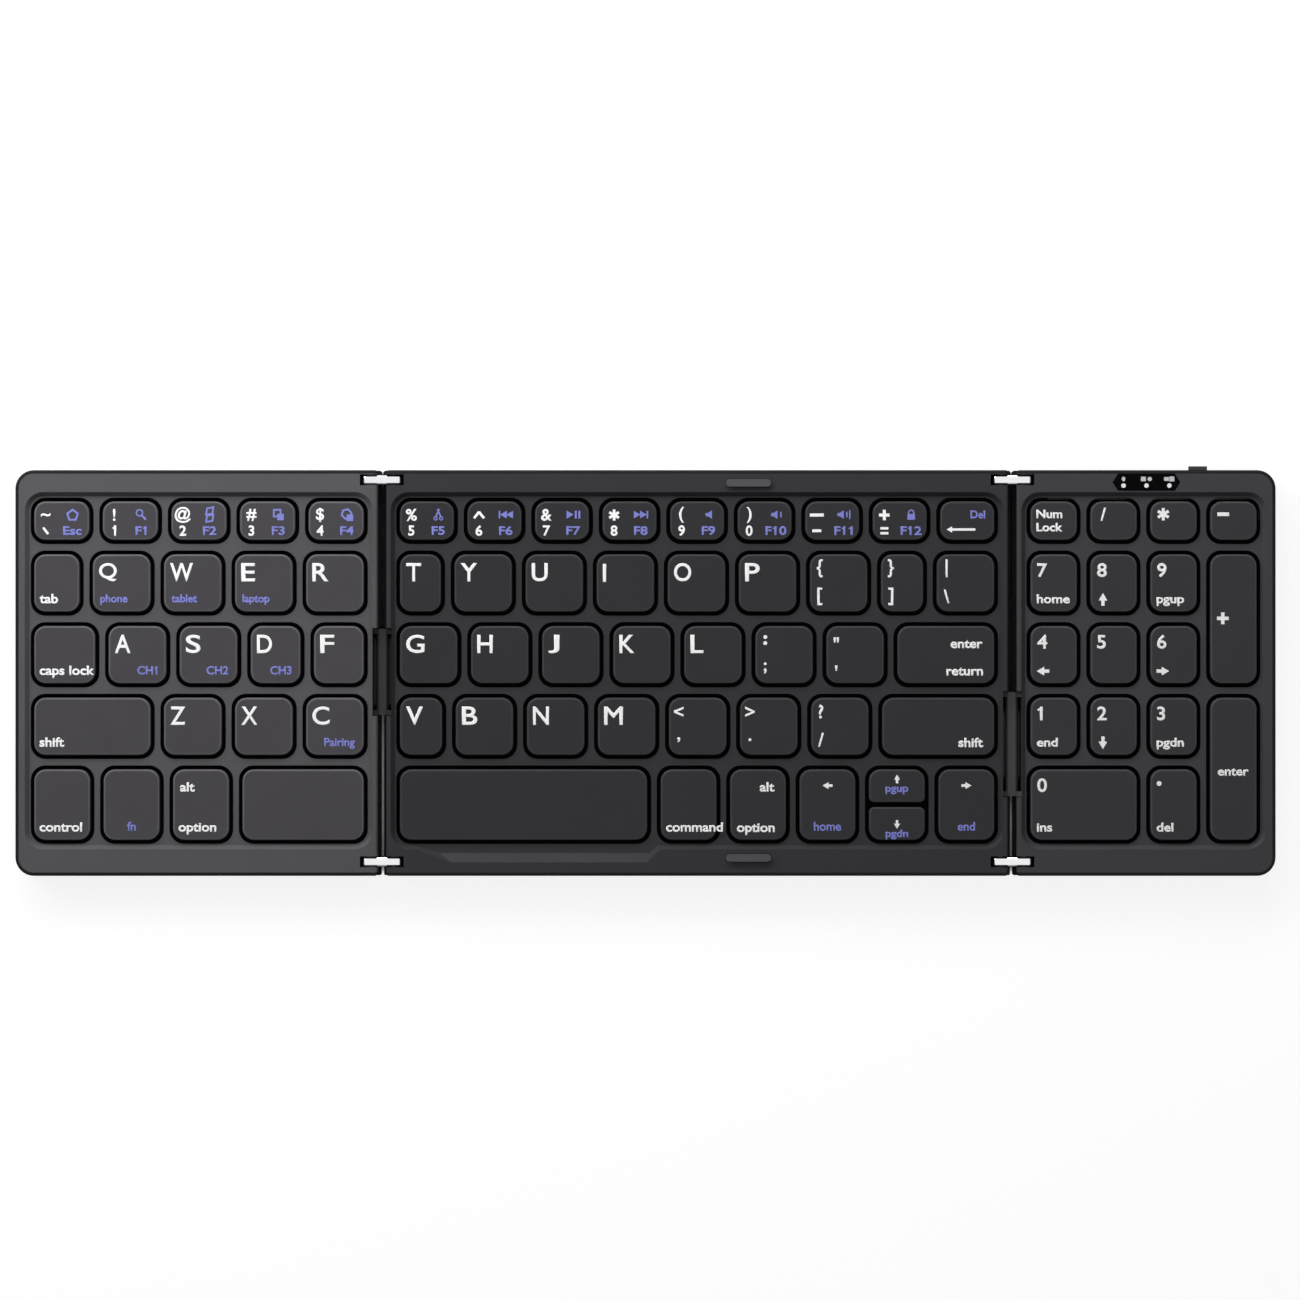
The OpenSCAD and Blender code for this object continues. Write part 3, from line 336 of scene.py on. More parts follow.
# Printed legends. Each style has the side it is set from, its distance from that side,
# its distance from the rear or front edge of the cap to its middle or base line, its
# capital height, all in mm, and its ink.
STYLES = {
    "letter": ("left", 1.7, "rear", 6.8, 4.2, "white"),
    "digit": ("left", 1.8, "rear", 5.6, 3.1, "white"),
    "sign_over": ("middle", 3.0, "rear", 3.5, 2.7, "white"),
    "sign_under": ("middle", 3.0, "rear", 7.3, 2.3, "white"),
    "mark_over": ("middle", 2.6, "rear", 3.6, 3.1, "white"),
    "mark_under": ("middle", 2.6, "rear", 10.4, 3.1, "white"),
    "symbol": ("middle", 9.5, "rear", 3.4, 2.7, "blue"),
    "second": ("middle", 9.5, "rear", 7.3, 1.95, "blue"),
    "word": ("left", 1.5, "front", 2.3, 2.1, "white"),
    "word_right": ("right", 2.9, "front", 2.2, 2.1, "white"),
    "word_rear": ("left", 1.9, "rear", 5.5, 2.1, "white"),
    "word_rear_right": ("right", 3.0, "rear", 5.5, 2.1, "white"),
    "note": ("left", 2.0, "front", 2.5, 1.8, "blue"),
    "note_right": ("right", 2.3, "front", 2.4, 1.9, "blue"),
    "note_middle": ("centred", 0.0, "front", 2.5, 2.0, "blue"),
    "pad_sign": ("middle", 3.3, "rear", 3.3, 3.0, "white"),
    "pad_word": ("left", 1.7, "front", 2.3, 2.0, "white"),
    "pad_arrow": ("middle", 3.2, "rear", 11.1, 2.9, "white"),
    "arrow": ("centred", 0.0, "rear", 4.1, 2.3, "white"),
    "split_arrow": ("centred", 0.0, "rear", 2.5, 2.0, "white"),
    "split_note": ("centred", 0.0, "rear", 5.6, 1.7, "blue"),
    "split_arrow_low": ("centred", 0.0, "rear", 4.4, 2.0, "white"),
    "split_note_low": ("centred", 0.0, "rear", 7.4, 1.7, "blue"),
    "backspace": ("middle", 5.2, "rear", 7.0, 2.2, "white"),
    "delete": ("middle", 9.3, "rear", 3.4, 1.8, "blue"),
    "num_word": ("left", 1.6, "rear", 4.2, 1.9, "white"),
    "lock_word": ("left", 1.6, "rear", 7.4, 1.9, "white"),
    "plus": ("middle", 3.2, "rear", 15.7, 3.0, "white"),
    "pad_enter": ("left", 2.0, "rear", 19.0, 2.0, "white"),
    "pad_dot": ("middle", 2.3, "rear", 3.6, 1.2, "white"),
}


def number_key(over, under, symbol, second):
    """The four legends of a key in the number row."""
    return [
        (over, "sign_over"),
        (under, "sign_under"),
        (symbol, "symbol"),
        (second, "second"),
    ]


LEGENDS = {
    "left_keys_row1": [
        number_key("~", ":tick", ":home", "Esc"),
        number_key("!", "1", ":find", "F1"),
        number_key("@", "2", ":select", "F2"),
        number_key("#", "3", ":copy", "F3"),
        number_key("$", "4", ":paste", "F4"),
    ],
    "left_keys_row2": [
        [("tab", "word")],
        [("Q", "letter"), ("phone", "note")],
        [("W", "letter"), ("tablet", "note")],
        [("E", "letter"), ("laptop", "note")],
        [("R", "letter")],
    ],
    "left_keys_row3": [
        [("caps lock", "word")],
        [("A", "letter"), ("CH1", "note_right")],
        [("S", "letter"), ("CH2", "note_right")],
        [("D", "letter"), ("CH3", "note_right")],
        [("F", "letter")],
    ],
    "left_keys_row4": [
        [("shift", "word")],
        [("Z", "letter")],
        [("X", "letter")],
        [("C", "letter"), ("Pairing", "note_right")],
    ],
    "left_keys_row5": [
        [("control", "word")],
        [("fn", "note_middle")],
        [("alt", "word_rear"), ("option", "word")],
        [],
    ],
    "centre_keys_row1": [
        number_key("%", "5", ":cut", "F5"),
        number_key(":caret", "6", ":previous", "F6"),
        number_key("&", "7", ":play", "F7"),
        number_key(":star", "8", ":next", "F8"),
        number_key("(", "9", ":mute", "F9"),
        number_key(")", "0", ":quieter", "F10"),
        number_key(":dash", ":minus", ":louder", "F11"),
        number_key(":plus", ":equals", ":lock", "F12"),
        [(":backspace", "backspace"), ("Del", "delete")],
    ],
    "centre_keys_row2": [[(letter, "letter")] for letter in "TYUIOP"]
    + [
        [("{", "mark_over"), ("[", "mark_under")],
        [("}", "mark_over"), ("]", "mark_under")],
        [("|", "mark_over"), ("\\", "mark_under")],
    ],
    "centre_keys_row3": [[(letter, "letter")] for letter in "GHJKL"]
    + [
        [(":colon", "mark_over"), (";", "mark_under")],
        [('"', "mark_over"), ("'", "mark_under")],
        [("enter", "word_rear_right"), ("return", "word_right")],
    ],
    "centre_keys_row4": [[(letter, "letter")] for letter in "VBNM"]
    + [
        [("<", "mark_over"), (",", "mark_under")],
        [(">", "mark_over"), (".", "mark_under")],
        [("?", "mark_over"), ("/", "mark_under")],
        [("shift", "word_right")],
    ],
    "centre_keys_row5": [
        [],
        [("command", "word")],
        [("alt", "word_rear_right"), ("option", "word_right")],
        [(":left", "arrow"), ("home", "note_middle")],
        [(":up", "split_arrow"), ("pgup", "split_note")],
        [(":down", "split_arrow_low"), ("pgdn", "split_note_low")],
        [(":right", "arrow"), ("end", "note_middle")],
    ],
    "numpad_keys_row1": [
        [("Num", "num_word"), ("Lock", "lock_word")],
        [("/", "pad_sign")],
        [(":star", "pad_sign")],
        [(":minus", "pad_sign")],
    ],
    "numpad_keys_row2": [
        [("7", "digit"), ("home", "pad_word")],
        [("8", "digit"), (":up", "pad_arrow")],
        [("9", "digit"), ("pgup", "pad_word")],
        [(":plus", "plus")],
    ],
    "numpad_keys_row3": [
        [("4", "digit"), (":left", "pad_arrow")],
        [("5", "digit")],
        [("6", "digit"), (":right", "pad_arrow")],
    ],
    "numpad_keys_row4": [
        [("1", "digit"), ("end", "pad_word")],
        [("2", "digit"), (":down", "pad_arrow")],
        [("3", "digit"), ("pgdn", "pad_word")],
        [("enter", "pad_enter")],
    ],
    "numpad_keys_row5": [
        [("0", "digit"), ("ins", "pad_word")],
        [(":dot", "pad_dot"), ("del", "pad_word")],
    ],
}

# Height and widths in mm of the main letters, which are drawn wider or narrower than the
# built-in sans serif has them.
LETTER_HEIGHT = 4.48
LETTER_WIDTHS = {
    "Q": 4.35, "W": 5.55, "E": 3.4, "R": 4.0, "T": 3.7, "Y": 4.0, "U": 3.9, "O": 4.24,
    "P": 3.6, "A": 3.9, "S": 3.64, "D": 3.7, "F": 3.46, "G": 4.5, "H": 3.8, "J": 2.75,
    "K": 3.8, "L": 3.2, "Z": 3.7, "X": 4.0, "C": 4.2, "V": 4.1, "B": 3.8, "N": 3.9,
    "M": 4.6,
}
# Factors by which other legends are wider, and their strokes bolder, than in the same
# sans serif with the ink's usual spread.
WORDS = ("word", "word_right", "word_rear", "word_rear_right", "num_word", "lock_word")
WIDER = dict.fromkeys(WORDS, 1.14) | {
    "pad_word": 1.2,
    "pad_enter": 1.15,
    "split_note": 1.18,
    "split_note_low": 1.18,
    "second": 1.25,
    "digit": 1.08,
}
BOLD = dict.fromkeys((*WORDS, "pad_word", "pad_enter"), 1.15) | {
    "letter": 1.2,
    "second": 1.05,
    "sign_over": 1.2,
    "sign_under": 1.3,
    "digit": 1.25,
}
# Signs that stand on their middle, where a word or letter stands on its base line.
CENTRED = {
    "sign_over", "sign_under", "mark_over", "mark_under", "symbol", "second", "delete",
    "pad_sign", "plus",
}

# Printed signs of the status window, for each light from left to right: distance to the
# right of the light, width and depth, all in mm, and number of sides.
SIGN_BEHIND_LIGHT = 1.6
WINDOW_SIGNS = (
    ((0.0, (0.85, 1.1), 16),),
    ((-0.75, (1.2, 1.1), 4), (0.8, (1.1, 1.0), 16)),
    ((-0.7, (1.2, 0.9), 4), (0.6, (1.2, 1.2), 4)),
)


def rectangle(bm, width, depth):
    """Adds a flat rectangle round the origin and gives its vertices."""
    verts = bmesh.ops.create_grid(bm, x_segments=1, y_segments=1, size=0.5)["verts"]
    bmesh.ops.scale(bm, vec=(width, depth, 1), verts=verts)
    return verts


def draw_out(bm, faces, way, **settings):
    """Extrudes faces by a vector and gives what that made."""
    made = bmesh.ops.extrude_face_region(bm, geom=faces, **settings)["geom"]
    verts = [v for v in made if isinstance(v, bmesh.types.BMVert)]
    bmesh.ops.translate(bm, vec=way, verts=verts)
    return made


def soften(bm, geom, radius, segments, affect):
    """Rounds corners, where affect is VERTICES, or else edges."""
    return bmesh.ops.bevel(
        bm,
        geom=geom,
        offset=radius,
        offset_type="OFFSET",
        segments=segments,
        profile=0.5,
        affect=affect,
        material=-1,
    )


def put(bm, verts, centre, size=(1, 1), turn=0.0):
    """Scales, turns and moves the vertices of a flat shape, in that order."""
    bmesh.ops.scale(bm, vec=(size[0], size[1], 1), verts=verts)
    bmesh.ops.rotate(bm, matrix=Matrix.Rotation(turn, 3, "Z"), verts=verts)
    # Each further shape of a sign lies a little higher, so that none is coplanar.
    level = 0.1 * len({round(v.co.z, 3) for v in bm.verts})
    bmesh.ops.translate(bm, vec=(centre[0], centre[1], level), verts=verts)


def bar(bm, centre, size, turn=0.0):
    """A filled rectangle."""
    put(bm, rectangle(bm, *size), centre, turn=turn)


def disc(bm, centre, radius, sides=20, turn=0.0, size=(1, 1)):
    """A filled disc, or with three sides a triangle that points up at no turn."""
    verts = bmesh.ops.create_circle(
        bm, cap_ends=True, segments=sides, radius=radius
    )["verts"]
    put(bm, verts, centre, size, turn)


def ring(bm, centre, radius, width, sides=20, size=(1, 1), turn=0.0):
    """A flat ring of the given outer radius and band width."""
    made = bmesh.ops.create_circle(bm, cap_ends=True, segments=sides, radius=radius)
    face = made["verts"][0].link_faces[0]
    bmesh.ops.inset_region(
        bm, faces=[face], thickness=width, use_boundary=True, use_even_offset=True
    )
    verts = set(made["verts"]) | set(face.verts)
    bmesh.ops.delete(bm, geom=[face], context="FACES_ONLY")
    put(bm, list(verts), centre, size, turn)


LEFT, RIGHT, UP = math.pi / 2, -math.pi / 2, 0.0


def speaker(bm, x):
    """The horn of a loudspeaker sign."""
    bar(bm, (x - 0.26, 0), (0.2, 0.3))
    disc(bm, (x, 0), 0.44, 3, LEFT, (1, 0.95))


def draw_symbol(bm, name):
    """Draws one of the generic signs, about one unit high, round the origin."""
    if name == "home":
        ring(bm, (0, 0), 0.6, 0.17, 5)
    elif name == "find":
        ring(bm, (-0.1, 0.16), 0.34, 0.12)
        bar(bm, (0.3, -0.26), (0.5, 0.18), -math.pi / 4)
    elif name == "select":
        for y in (0.33, -0.33):
            ring(bm, (0, y), 0.5, 0.16, 4, (1.2, 0.85), math.pi / 4)
    elif name in ("copy", "paste"):
        sides = 4 if name == "copy" else 6
        ring(bm, (-0.1, 0.14), 0.54, 0.16, sides, turn=math.pi / 4)
        disc(bm, (0.2, -0.2), 0.42, 4, math.pi / 4)
    elif name == "cut":
        bar(bm, (-0.08, 0.12), (0.8, 0.13), math.radians(66))
        bar(bm, (0.08, 0.12), (0.8, 0.13), math.radians(114))
        ring(bm, (-0.25, -0.36), 0.19, 0.09, 14)
        ring(bm, (0.25, -0.36), 0.19, 0.09, 14)
    elif name in ("previous", "next"):
        way, side = (LEFT, -1) if name == "previous" else (RIGHT, 1)
        disc(bm, (-0.42 * side, 0), 0.4, 3, way)
        disc(bm, (0.14 * side, 0), 0.4, 3, way)
        bar(bm, (0.6 * side, 0), (0.14, 0.68))
    elif name == "play":
        disc(bm, (-0.4, 0), 0.42, 3, RIGHT)
        bar(bm, (0.22, 0), (0.18, 0.7))
        bar(bm, (0.54, 0), (0.18, 0.7))
    elif name in ("mute", "quieter", "louder"):
        waves = {"mute": 0, "quieter": 1, "louder": 2}[name]
        speaker(bm, -0.22 * waves)
        for step in range(waves):
            bar(bm, (0.3 + 0.26 * (step - waves + 1), 0), (0.12, 0.5 + 0.3 * step))
    elif name == "lock":
        bar(bm, (0, -0.22), (0.68, 0.52))
        ring(bm, (0, 0.14), 0.3, 0.12)
    elif name == "dash":
        bar(bm, (0, 0), (1.25, 0.28))
    elif name == "minus":
        bar(bm, (0, 0), (0.95, 0.3))
    elif name == "equals":
        bar(bm, (0, 0.26), (0.85, 0.26))
        bar(bm, (0, -0.26), (0.85, 0.26))
    elif name == "plus":
        bar(bm, (0, 0), (0.95, 0.28))
        bar(bm, (0, 0), (0.28, 0.95))
    elif name == "caret":
        bar(bm, (-0.22, 0), (0.22, 0.74), math.radians(-38))
        bar(bm, (0.22, 0), (0.22, 0.74), math.radians(38))
    elif name == "tick":
        bar(bm, (0, 0), (0.24, 0.85), math.radians(38))
    elif name == "star":
        for turn in (0, 60, 120):
            bar(bm, (0, 0), (1.0, 0.24), math.radians(turn + 30))
    elif name == "dot":
        disc(bm, (0, 0), 0.5)
    elif name == "colon":
        disc(bm, (0, 0.24), 0.15, 14)
        disc(bm, (0, -0.24), 0.15, 14)
    elif name == "backspace":
        disc(bm, (-1.2, 0), 0.4, 3, LEFT)
        bar(bm, (0.25, 0), (2.6, 0.26))
    else:
        turns = {"left": LEFT, "right": RIGHT, "up": UP, "down": math.pi}
        disc(bm, (0, 0.12), 0.42, 3)
        bar(bm, (0, -0.24), (0.28, 0.56))
        put(bm, bm.verts[:], (0, 0), turn=turns[name])


def lettering(words, weight=0.0):
    """A mesh of the words in the built-in sans serif, its strokes thickened by weight."""
    curve = bpy.data.curves.new("words", "FONT")
    curve.body = words
    curve.resolution_u = 5
    curve.bevel_depth = weight
    curve.bevel_resolution = 0
    holder = bpy.data.objects.new("words", curve)
    bpy.context.scene.collection.objects.link(holder)
    bpy.context.view_layer.update()
    evaluated = holder.evaluated_get(bpy.context.evaluated_depsgraph_get())
    mesh = bpy.data.meshes.new_from_object(evaluated)
    bpy.data.objects.remove(holder)
    bpy.data.curves.remove(curve)
    return mesh


def glyph_box(words):
    """Left, right, lower and upper limits of the plain outline of the words."""
    mesh = lettering(words)
    xs = [v.co.x for v in mesh.vertices]
    ys = [v.co.y for v in mesh.vertices]
    bpy.data.meshes.remove(mesh)
    return min(xs), max(xs), min(ys), max(ys)


# The flag of a figure one: its length, thickness and distances from the figure's right
# side and top in widths of the stroke, its height in weights, and its slant in radians.
FLAG_LENGTH, FLAG_THICKNESS, FLAG_LEFT, FLAG_DOWN = 2.2, 0.8, 0.4, 1.1
FLAG_HEIGHT, FLAG_SLANT = 1.6, 0.6


def add_flags(part, words, weight):
    """The slanted flag of each figure one, which the built-in sans serif lacks."""
    left, right, _, top = glyph_box("1")
    stroke = right - left
    for index, sign in enumerate(words):
        if sign == "1":
            x = glyph_box(words[: index + 1])[1] - stroke
            made = bmesh.ops.create_cube(part, size=1.0)["verts"]
            thick = FLAG_THICKNESS * stroke + weight
            size = (FLAG_LENGTH * stroke, thick, FLAG_HEIGHT * weight)
            bmesh.ops.scale(part, vec=size, verts=made)
            slant = Matrix.Rotation(FLAG_SLANT, 3, "Z")
            bmesh.ops.rotate(part, matrix=slant, verts=made)
            place = (x - FLAG_LEFT * stroke, top - FLAG_DOWN * stroke, 0)
            bmesh.ops.translate(part, vec=place, verts=made)


def draw_legend(bm, words, style, box, capital, sizes):
    """Prints one legend on the cap that fills the box."""
    side, across, edge, along, height, _ = STYLES[style]
    part = bmesh.new()
    if words.startswith(":"):
        unit = 1.0
        draw_symbol(part, words[1:])
        draw_out(part, part.faces[:], (0, 0, 1))
        bmesh.ops.translate(part, vec=(0, 0, -0.5), verts=part.verts)
    else:
        unit = capital
        weight = BOLD.get(style, 1) * sizes.spread * capital / (height * MM)
        mesh = lettering(words, weight)
        part.from_mesh(mesh)
        bpy.data.meshes.remove(mesh)
        bmesh.ops.remove_doubles(part, verts=part.verts, dist=1e-5)
        add_flags(part, words, weight)
    scale = height * MM / unit
    tall = max(v.co.z for v in part.verts)
    wide = scale * WIDER.get(style, 1)
    bmesh.ops.scale(part, vec=(wide, scale, sizes.ink / tall), verts=part.verts)
    xs = [v.co.x for v in part.verts]
    ys = [v.co.y for v in part.verts]
    if style == "letter" and words in LETTER_WIDTHS:
        wide = LETTER_WIDTHS[words] * MM / (max(xs) - min(xs))
        tall = LETTER_HEIGHT * MM / (max(ys) - min(ys))
        bmesh.ops.scale(part, vec=(wide, tall, 1), verts=part.verts)
        xs = [v.co.x for v in part.verts]
        lowest = min(v.co.y for v in part.verts)
        bmesh.ops.translate(part, vec=(0, -lowest, 0), verts=part.verts)
    low, high = box
    x = {
        "left": low.x + across * MM - min(xs),
        "right": high.x - across * MM - max(xs),
        "middle": low.x + across * MM - (min(xs) + max(xs)) / 2,
        "centred": (low.x + high.x - min(xs) - max(xs)) / 2,
    }[side]
    y = high.y - along * MM if edge == "rear" else low.y + along * MM
    if style in CENTRED or words.startswith(":"):
        y -= (min(ys) + max(ys)) / 2
    # The lower half of the ink is sunk into the cap, but for a quarter of its height.
    bmesh.ops.translate(part, vec=(x, y, high.z + sizes.ink / 4), verts=part.verts)
    bmesh.ops.recalc_face_normals(part, faces=part.faces)
    copy = bpy.data.meshes.new("legend")
    part.to_mesh(copy)
    part.free()
    bm.from_mesh(copy)
    bpy.data.meshes.remove(copy)


# The two half keys, and the side on which each meets the other.
HALF_KEYS = {("centre_keys_row5", 4): "front", ("centre_keys_row5", 5): "rear"}


def mould_keycap(bm, box, meeting, sizes):
    """One keycap: a rounded plate drawn up, hollow below, with a soft upper edge.

    The corners on the side where it meets another half key are sharper.
    """
    inward = Vector((sizes.cap_play, sizes.cap_play, 0))
    low, high = box[0] + inward, box[1] - inward
    made = rectangle(bm, high.x - low.x, high.y - low.y)
    centre = ((low.x + high.x) / 2, (low.y + high.y) / 2, low.z)
    bmesh.ops.translate(bm, vec=centre, verts=made)
    for side, way in (("rear", 1), ("front", -1)):
        corner = sizes.split_corner if side == meeting else sizes.cap_corner
        pair = [v for v in made if v.is_valid and (v.co.y - centre[1]) * way > 0]
        rounded = soften(bm, pair, corner, segments=7, affect="VERTICES")
    base = rounded["verts"][0].link_faces[0]
    height = high.z - low.z
    raised = draw_out(bm, [base], (0, 0, height), use_keep_orig=True)
    top = next(f for f in raised if isinstance(f, bmesh.types.BMFace))
    bmesh.ops.inset_region(bm, faces=[base], thickness=sizes.cap_wall)
    draw_out(bm, [base], (0, 0, height - sizes.cap_top))
    soften(bm, top.edges[:], sizes.cap_edge, segments=3, affect="EDGES")


def cast_link(bm, box, end, edge):
    """A hinge link: a flat bar, its ends rounded in side view and its edges soft."""
    low, high = box
    centre, size = (low + high) / 2, high - low
    made = rectangle(bm, size.x, size.z)
    bmesh.ops.rotate(bm, matrix=Matrix.Rotation(math.pi / 2, 3, "X"), verts=made)
    bmesh.ops.translate(bm, vec=(centre.x, low.y, centre.z), verts=made)
    soften(bm, made, end, segments=8, affect="VERTICES")
    draw_out(bm, bm.faces[:], (0, size.y, 0), use_keep_orig=True)
    caps = [f for f in bm.faces if len(f.verts) > 4]
    rims = [e for f in caps for e in f.edges]
    soften(bm, rims, edge, segments=4, affect="EDGES")
    bmesh.ops.recalc_face_normals(bm, faces=bm.faces)


def painted(material):
    """The tree, shader, linked colour and coordinates of a grained material."""
    tree = material.node_tree
    shader = next(n for n in tree.nodes if n.type == "BSDF_PRINCIPLED")
    paint = shader.inputs["Base Color"].links[0].from_socket
    places = next(n for n in tree.nodes if n.type == "TEX_COORD").outputs
    return tree, shader, paint, places


# Painted highlight: how much lighter a keycap's soft edge is painted than its top, in
# place of the light that its rounding catches. The two upper faces of the bevel lean by
# 15 and 45 degrees, so the upward parts of their facings lie round this middle, by no
# more than this much.
PAINTED_EDGE_HIGHLIGHT = 2.1
LEANING = (0.8, 0.18)


def paint_bevel_highlight(material):
    """Paints a highlight on a keycap's soft edge: a lighter colour in place of the light
    that its rounding catches.
    """
    tree, shader, paint, places = painted(material)
    upward = add_node(
        tree, "ShaderNodeSeparateXYZ", {"Vector": places["Normal"]}
    ).outputs["Z"]
    leaning = maths(tree, "COMPARE", upward, *LEANING)
    factor = (PAINTED_EDGE_HIGHLIGHT,) * 3 + (1,)
    highlighted = mixed(
        tree, leaning, paint, factor, blend_type="MULTIPLY", clamp_factor=False
    )
    feed(shader, {"Base Color": highlighted})


# Colour of the painted shade along the frames' rounded outer edge.
PAINTED_EDGE_SHADE = "#040405"


def paint_edge_shade(material, side, sizes):
    """Paints shade on the rounded outer edge of a frame: a near-black band in place of
    the shade that the rounding turns into, which shows as a black outline.

    The band follows a rounded rectangle, lengthened past the panel where a hinge is.
    """
    xs, ys = zip(*[v.co.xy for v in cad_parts[f"{side}_top_frame"].data.vertices])
    corner = sizes.panel_corner
    low = min(xs) - (0 if side == "left" else 2 * corner)
    high = max(xs) + (0 if side == "numpad" else 2 * corner)
    middle = ((low + high) / 2, (min(ys) + max(ys)) / 2, 0)
    core = ((high - low) / 2 - corner, max(ys) - middle[1] - corner, 0)
    tree, shader, paint, places = painted(material)
    place = places["Object"]
    for operation, other in (
        ("SUBTRACT", middle),
        ("MULTIPLY", (1, 1, 0)),
        ("ABSOLUTE", (0, 0, 0)),
        ("SUBTRACT", core),
        ("MAXIMUM", (0, 0, 0)),
    ):
        place = add_node(
            tree, "ShaderNodeVectorMath", {0: place, 1: other}, operation=operation
        ).outputs["Vector"]
    away = add_node(
        tree, "ShaderNodeVectorMath", {0: place}, operation="LENGTH"
    ).outputs["Value"]
    edge = maths(tree, "GREATER_THAN", away, corner - sizes.edge_shade_band)
    edge_shaded = mixed(tree, edge, paint, linear(PAINTED_EDGE_SHADE) + (1,))
    feed(shader, {"Base Color": edge_shaded})


class KEYBOARD_OT_frames(bpy.types.Operator):
    """Finish the top frames and the back covers"""

    bl_idname = "keyboard.frames"
    bl_label = "Frames and back covers"

    def execute(self, context):
        sizes = context.scene.keyboard_sizes
        colours = context.scene.keyboard_colours
        # ABS, injection moulded in a spark-eroded tool. Its pits, about 0.03 mm in the
        # real tool, are drawn ten times coarser so that they show as a matt skin.
        for side in SIDES:
            # Each panel's frame gets its own copy of the grey, painted lighter and darker
            # for the light on that panel.
            moulded = grained(
                f"spark_textured_abs_{side}", getattr(colours, f"{side}_shell"),
                roughness=0.55, grain=0.35, pit=0.006, cloud=14, variation=0.05,
                specular=0.2,
            )
            # Painted shade: a near-black band along the frame's rounded outer edge.
            paint_edge_shade(moulded, side, sizes)
            dress(f"{side}_top_frame", moulded)
        # The covers come from a coarser tool, which hides scratches underneath.
        covers = grained(
            "coarse_textured_abs", colours.back, roughness=0.62, grain=0.55, pit=0.015,
            cloud=20, variation=0.07, specular=0.12,
        )
        for side in SIDES:
            dress(f"{side}_back_cover", covers)
        return {"FINISHED"}


class KEYBOARD_OT_keycaps(bpy.types.Operator):
    """Replace each row of plain caps by moulded keycaps with soft edges"""

    bl_idname = "keyboard.keycaps"
    bl_label = "Keycaps"

    def execute(self, context):
        sizes = context.scene.keyboard_sizes
        colours = context.scene.keyboard_colours
        for side in SIDES:
            # ABS caps under a satin lacquer: smoother than the frame, with a soft gloss.
            # Each panel's caps get their own copy of the grey, painted lighter and darker
            # for the light on that panel.
            lacquer = grained(
                f"satin_lacquered_abs_{side}", getattr(colours, f"{side}_caps"),
                roughness=0.38, grain=0.4, pit=0.003, cloud=9, variation=0.05,
                specular=0.22,
            )
            # Painted highlight along each cap's soft edge, in place of the light it
            # catches.
            paint_bevel_highlight(lacquer)
            for row in range(1, 6):
                node = f"{side}_keys_row{row}"
                bm = bmesh.new()
                for index, box in enumerate(solid_boxes(node)):
                    mould_keycap(bm, box, HALF_KEYS.get((node, index)), sizes)
                bmesh.ops.recalc_face_normals(bm, faces=bm.faces)
                caps = new_piece(
                    f"{side}_keycaps_row{row}", bm, lacquer, node
                )
                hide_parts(node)
        return {"FINISHED"}


class KEYBOARD_OT_legends(bpy.types.Operator):
    """Print the letters, words and signs on the keycaps"""

    bl_idname = "keyboard.legends"
    bl_label = "Legends"

    def execute(self, context):
        sizes = context.scene.keyboard_sizes
        colours = context.scene.keyboard_colours
        inks = {}
        for name in ("white", "blue"):
            # Ink laid on by pad printing: opaque, matt, a little uneven.
            inks[name] = grained(
                f"pad_printed_ink_{name}", getattr(colours, f"{name}_ink"),
                roughness=0.55, grain=0.3, pit=0.002, cloud=3, variation=0.03,
                specular=0.3,
            )
        _, _, low, high = glyph_box("H")
        capital = high - low
        for node, keys in LEGENDS.items():
            boxes = solid_boxes(node)
            if len(boxes) != len(keys):
                raise RuntimeError(f"{node}: {len(boxes)} caps, {len(keys)} legends")
            for name, ink in inks.items():
                bm = bmesh.new()
                for box, legends in zip(boxes, keys):
                    for words, style in legends:
                        if STYLES[style][5] == name:
                            draw_legend(bm, words, style, box, capital, sizes)
                if not bm.faces:
                    bm.free()
                    continue
                new_piece(
                    node.replace("keys", "legends") + f"_{name}",
                    bm,
                    ink,
                    node,
                )
        return {"FINISHED"}


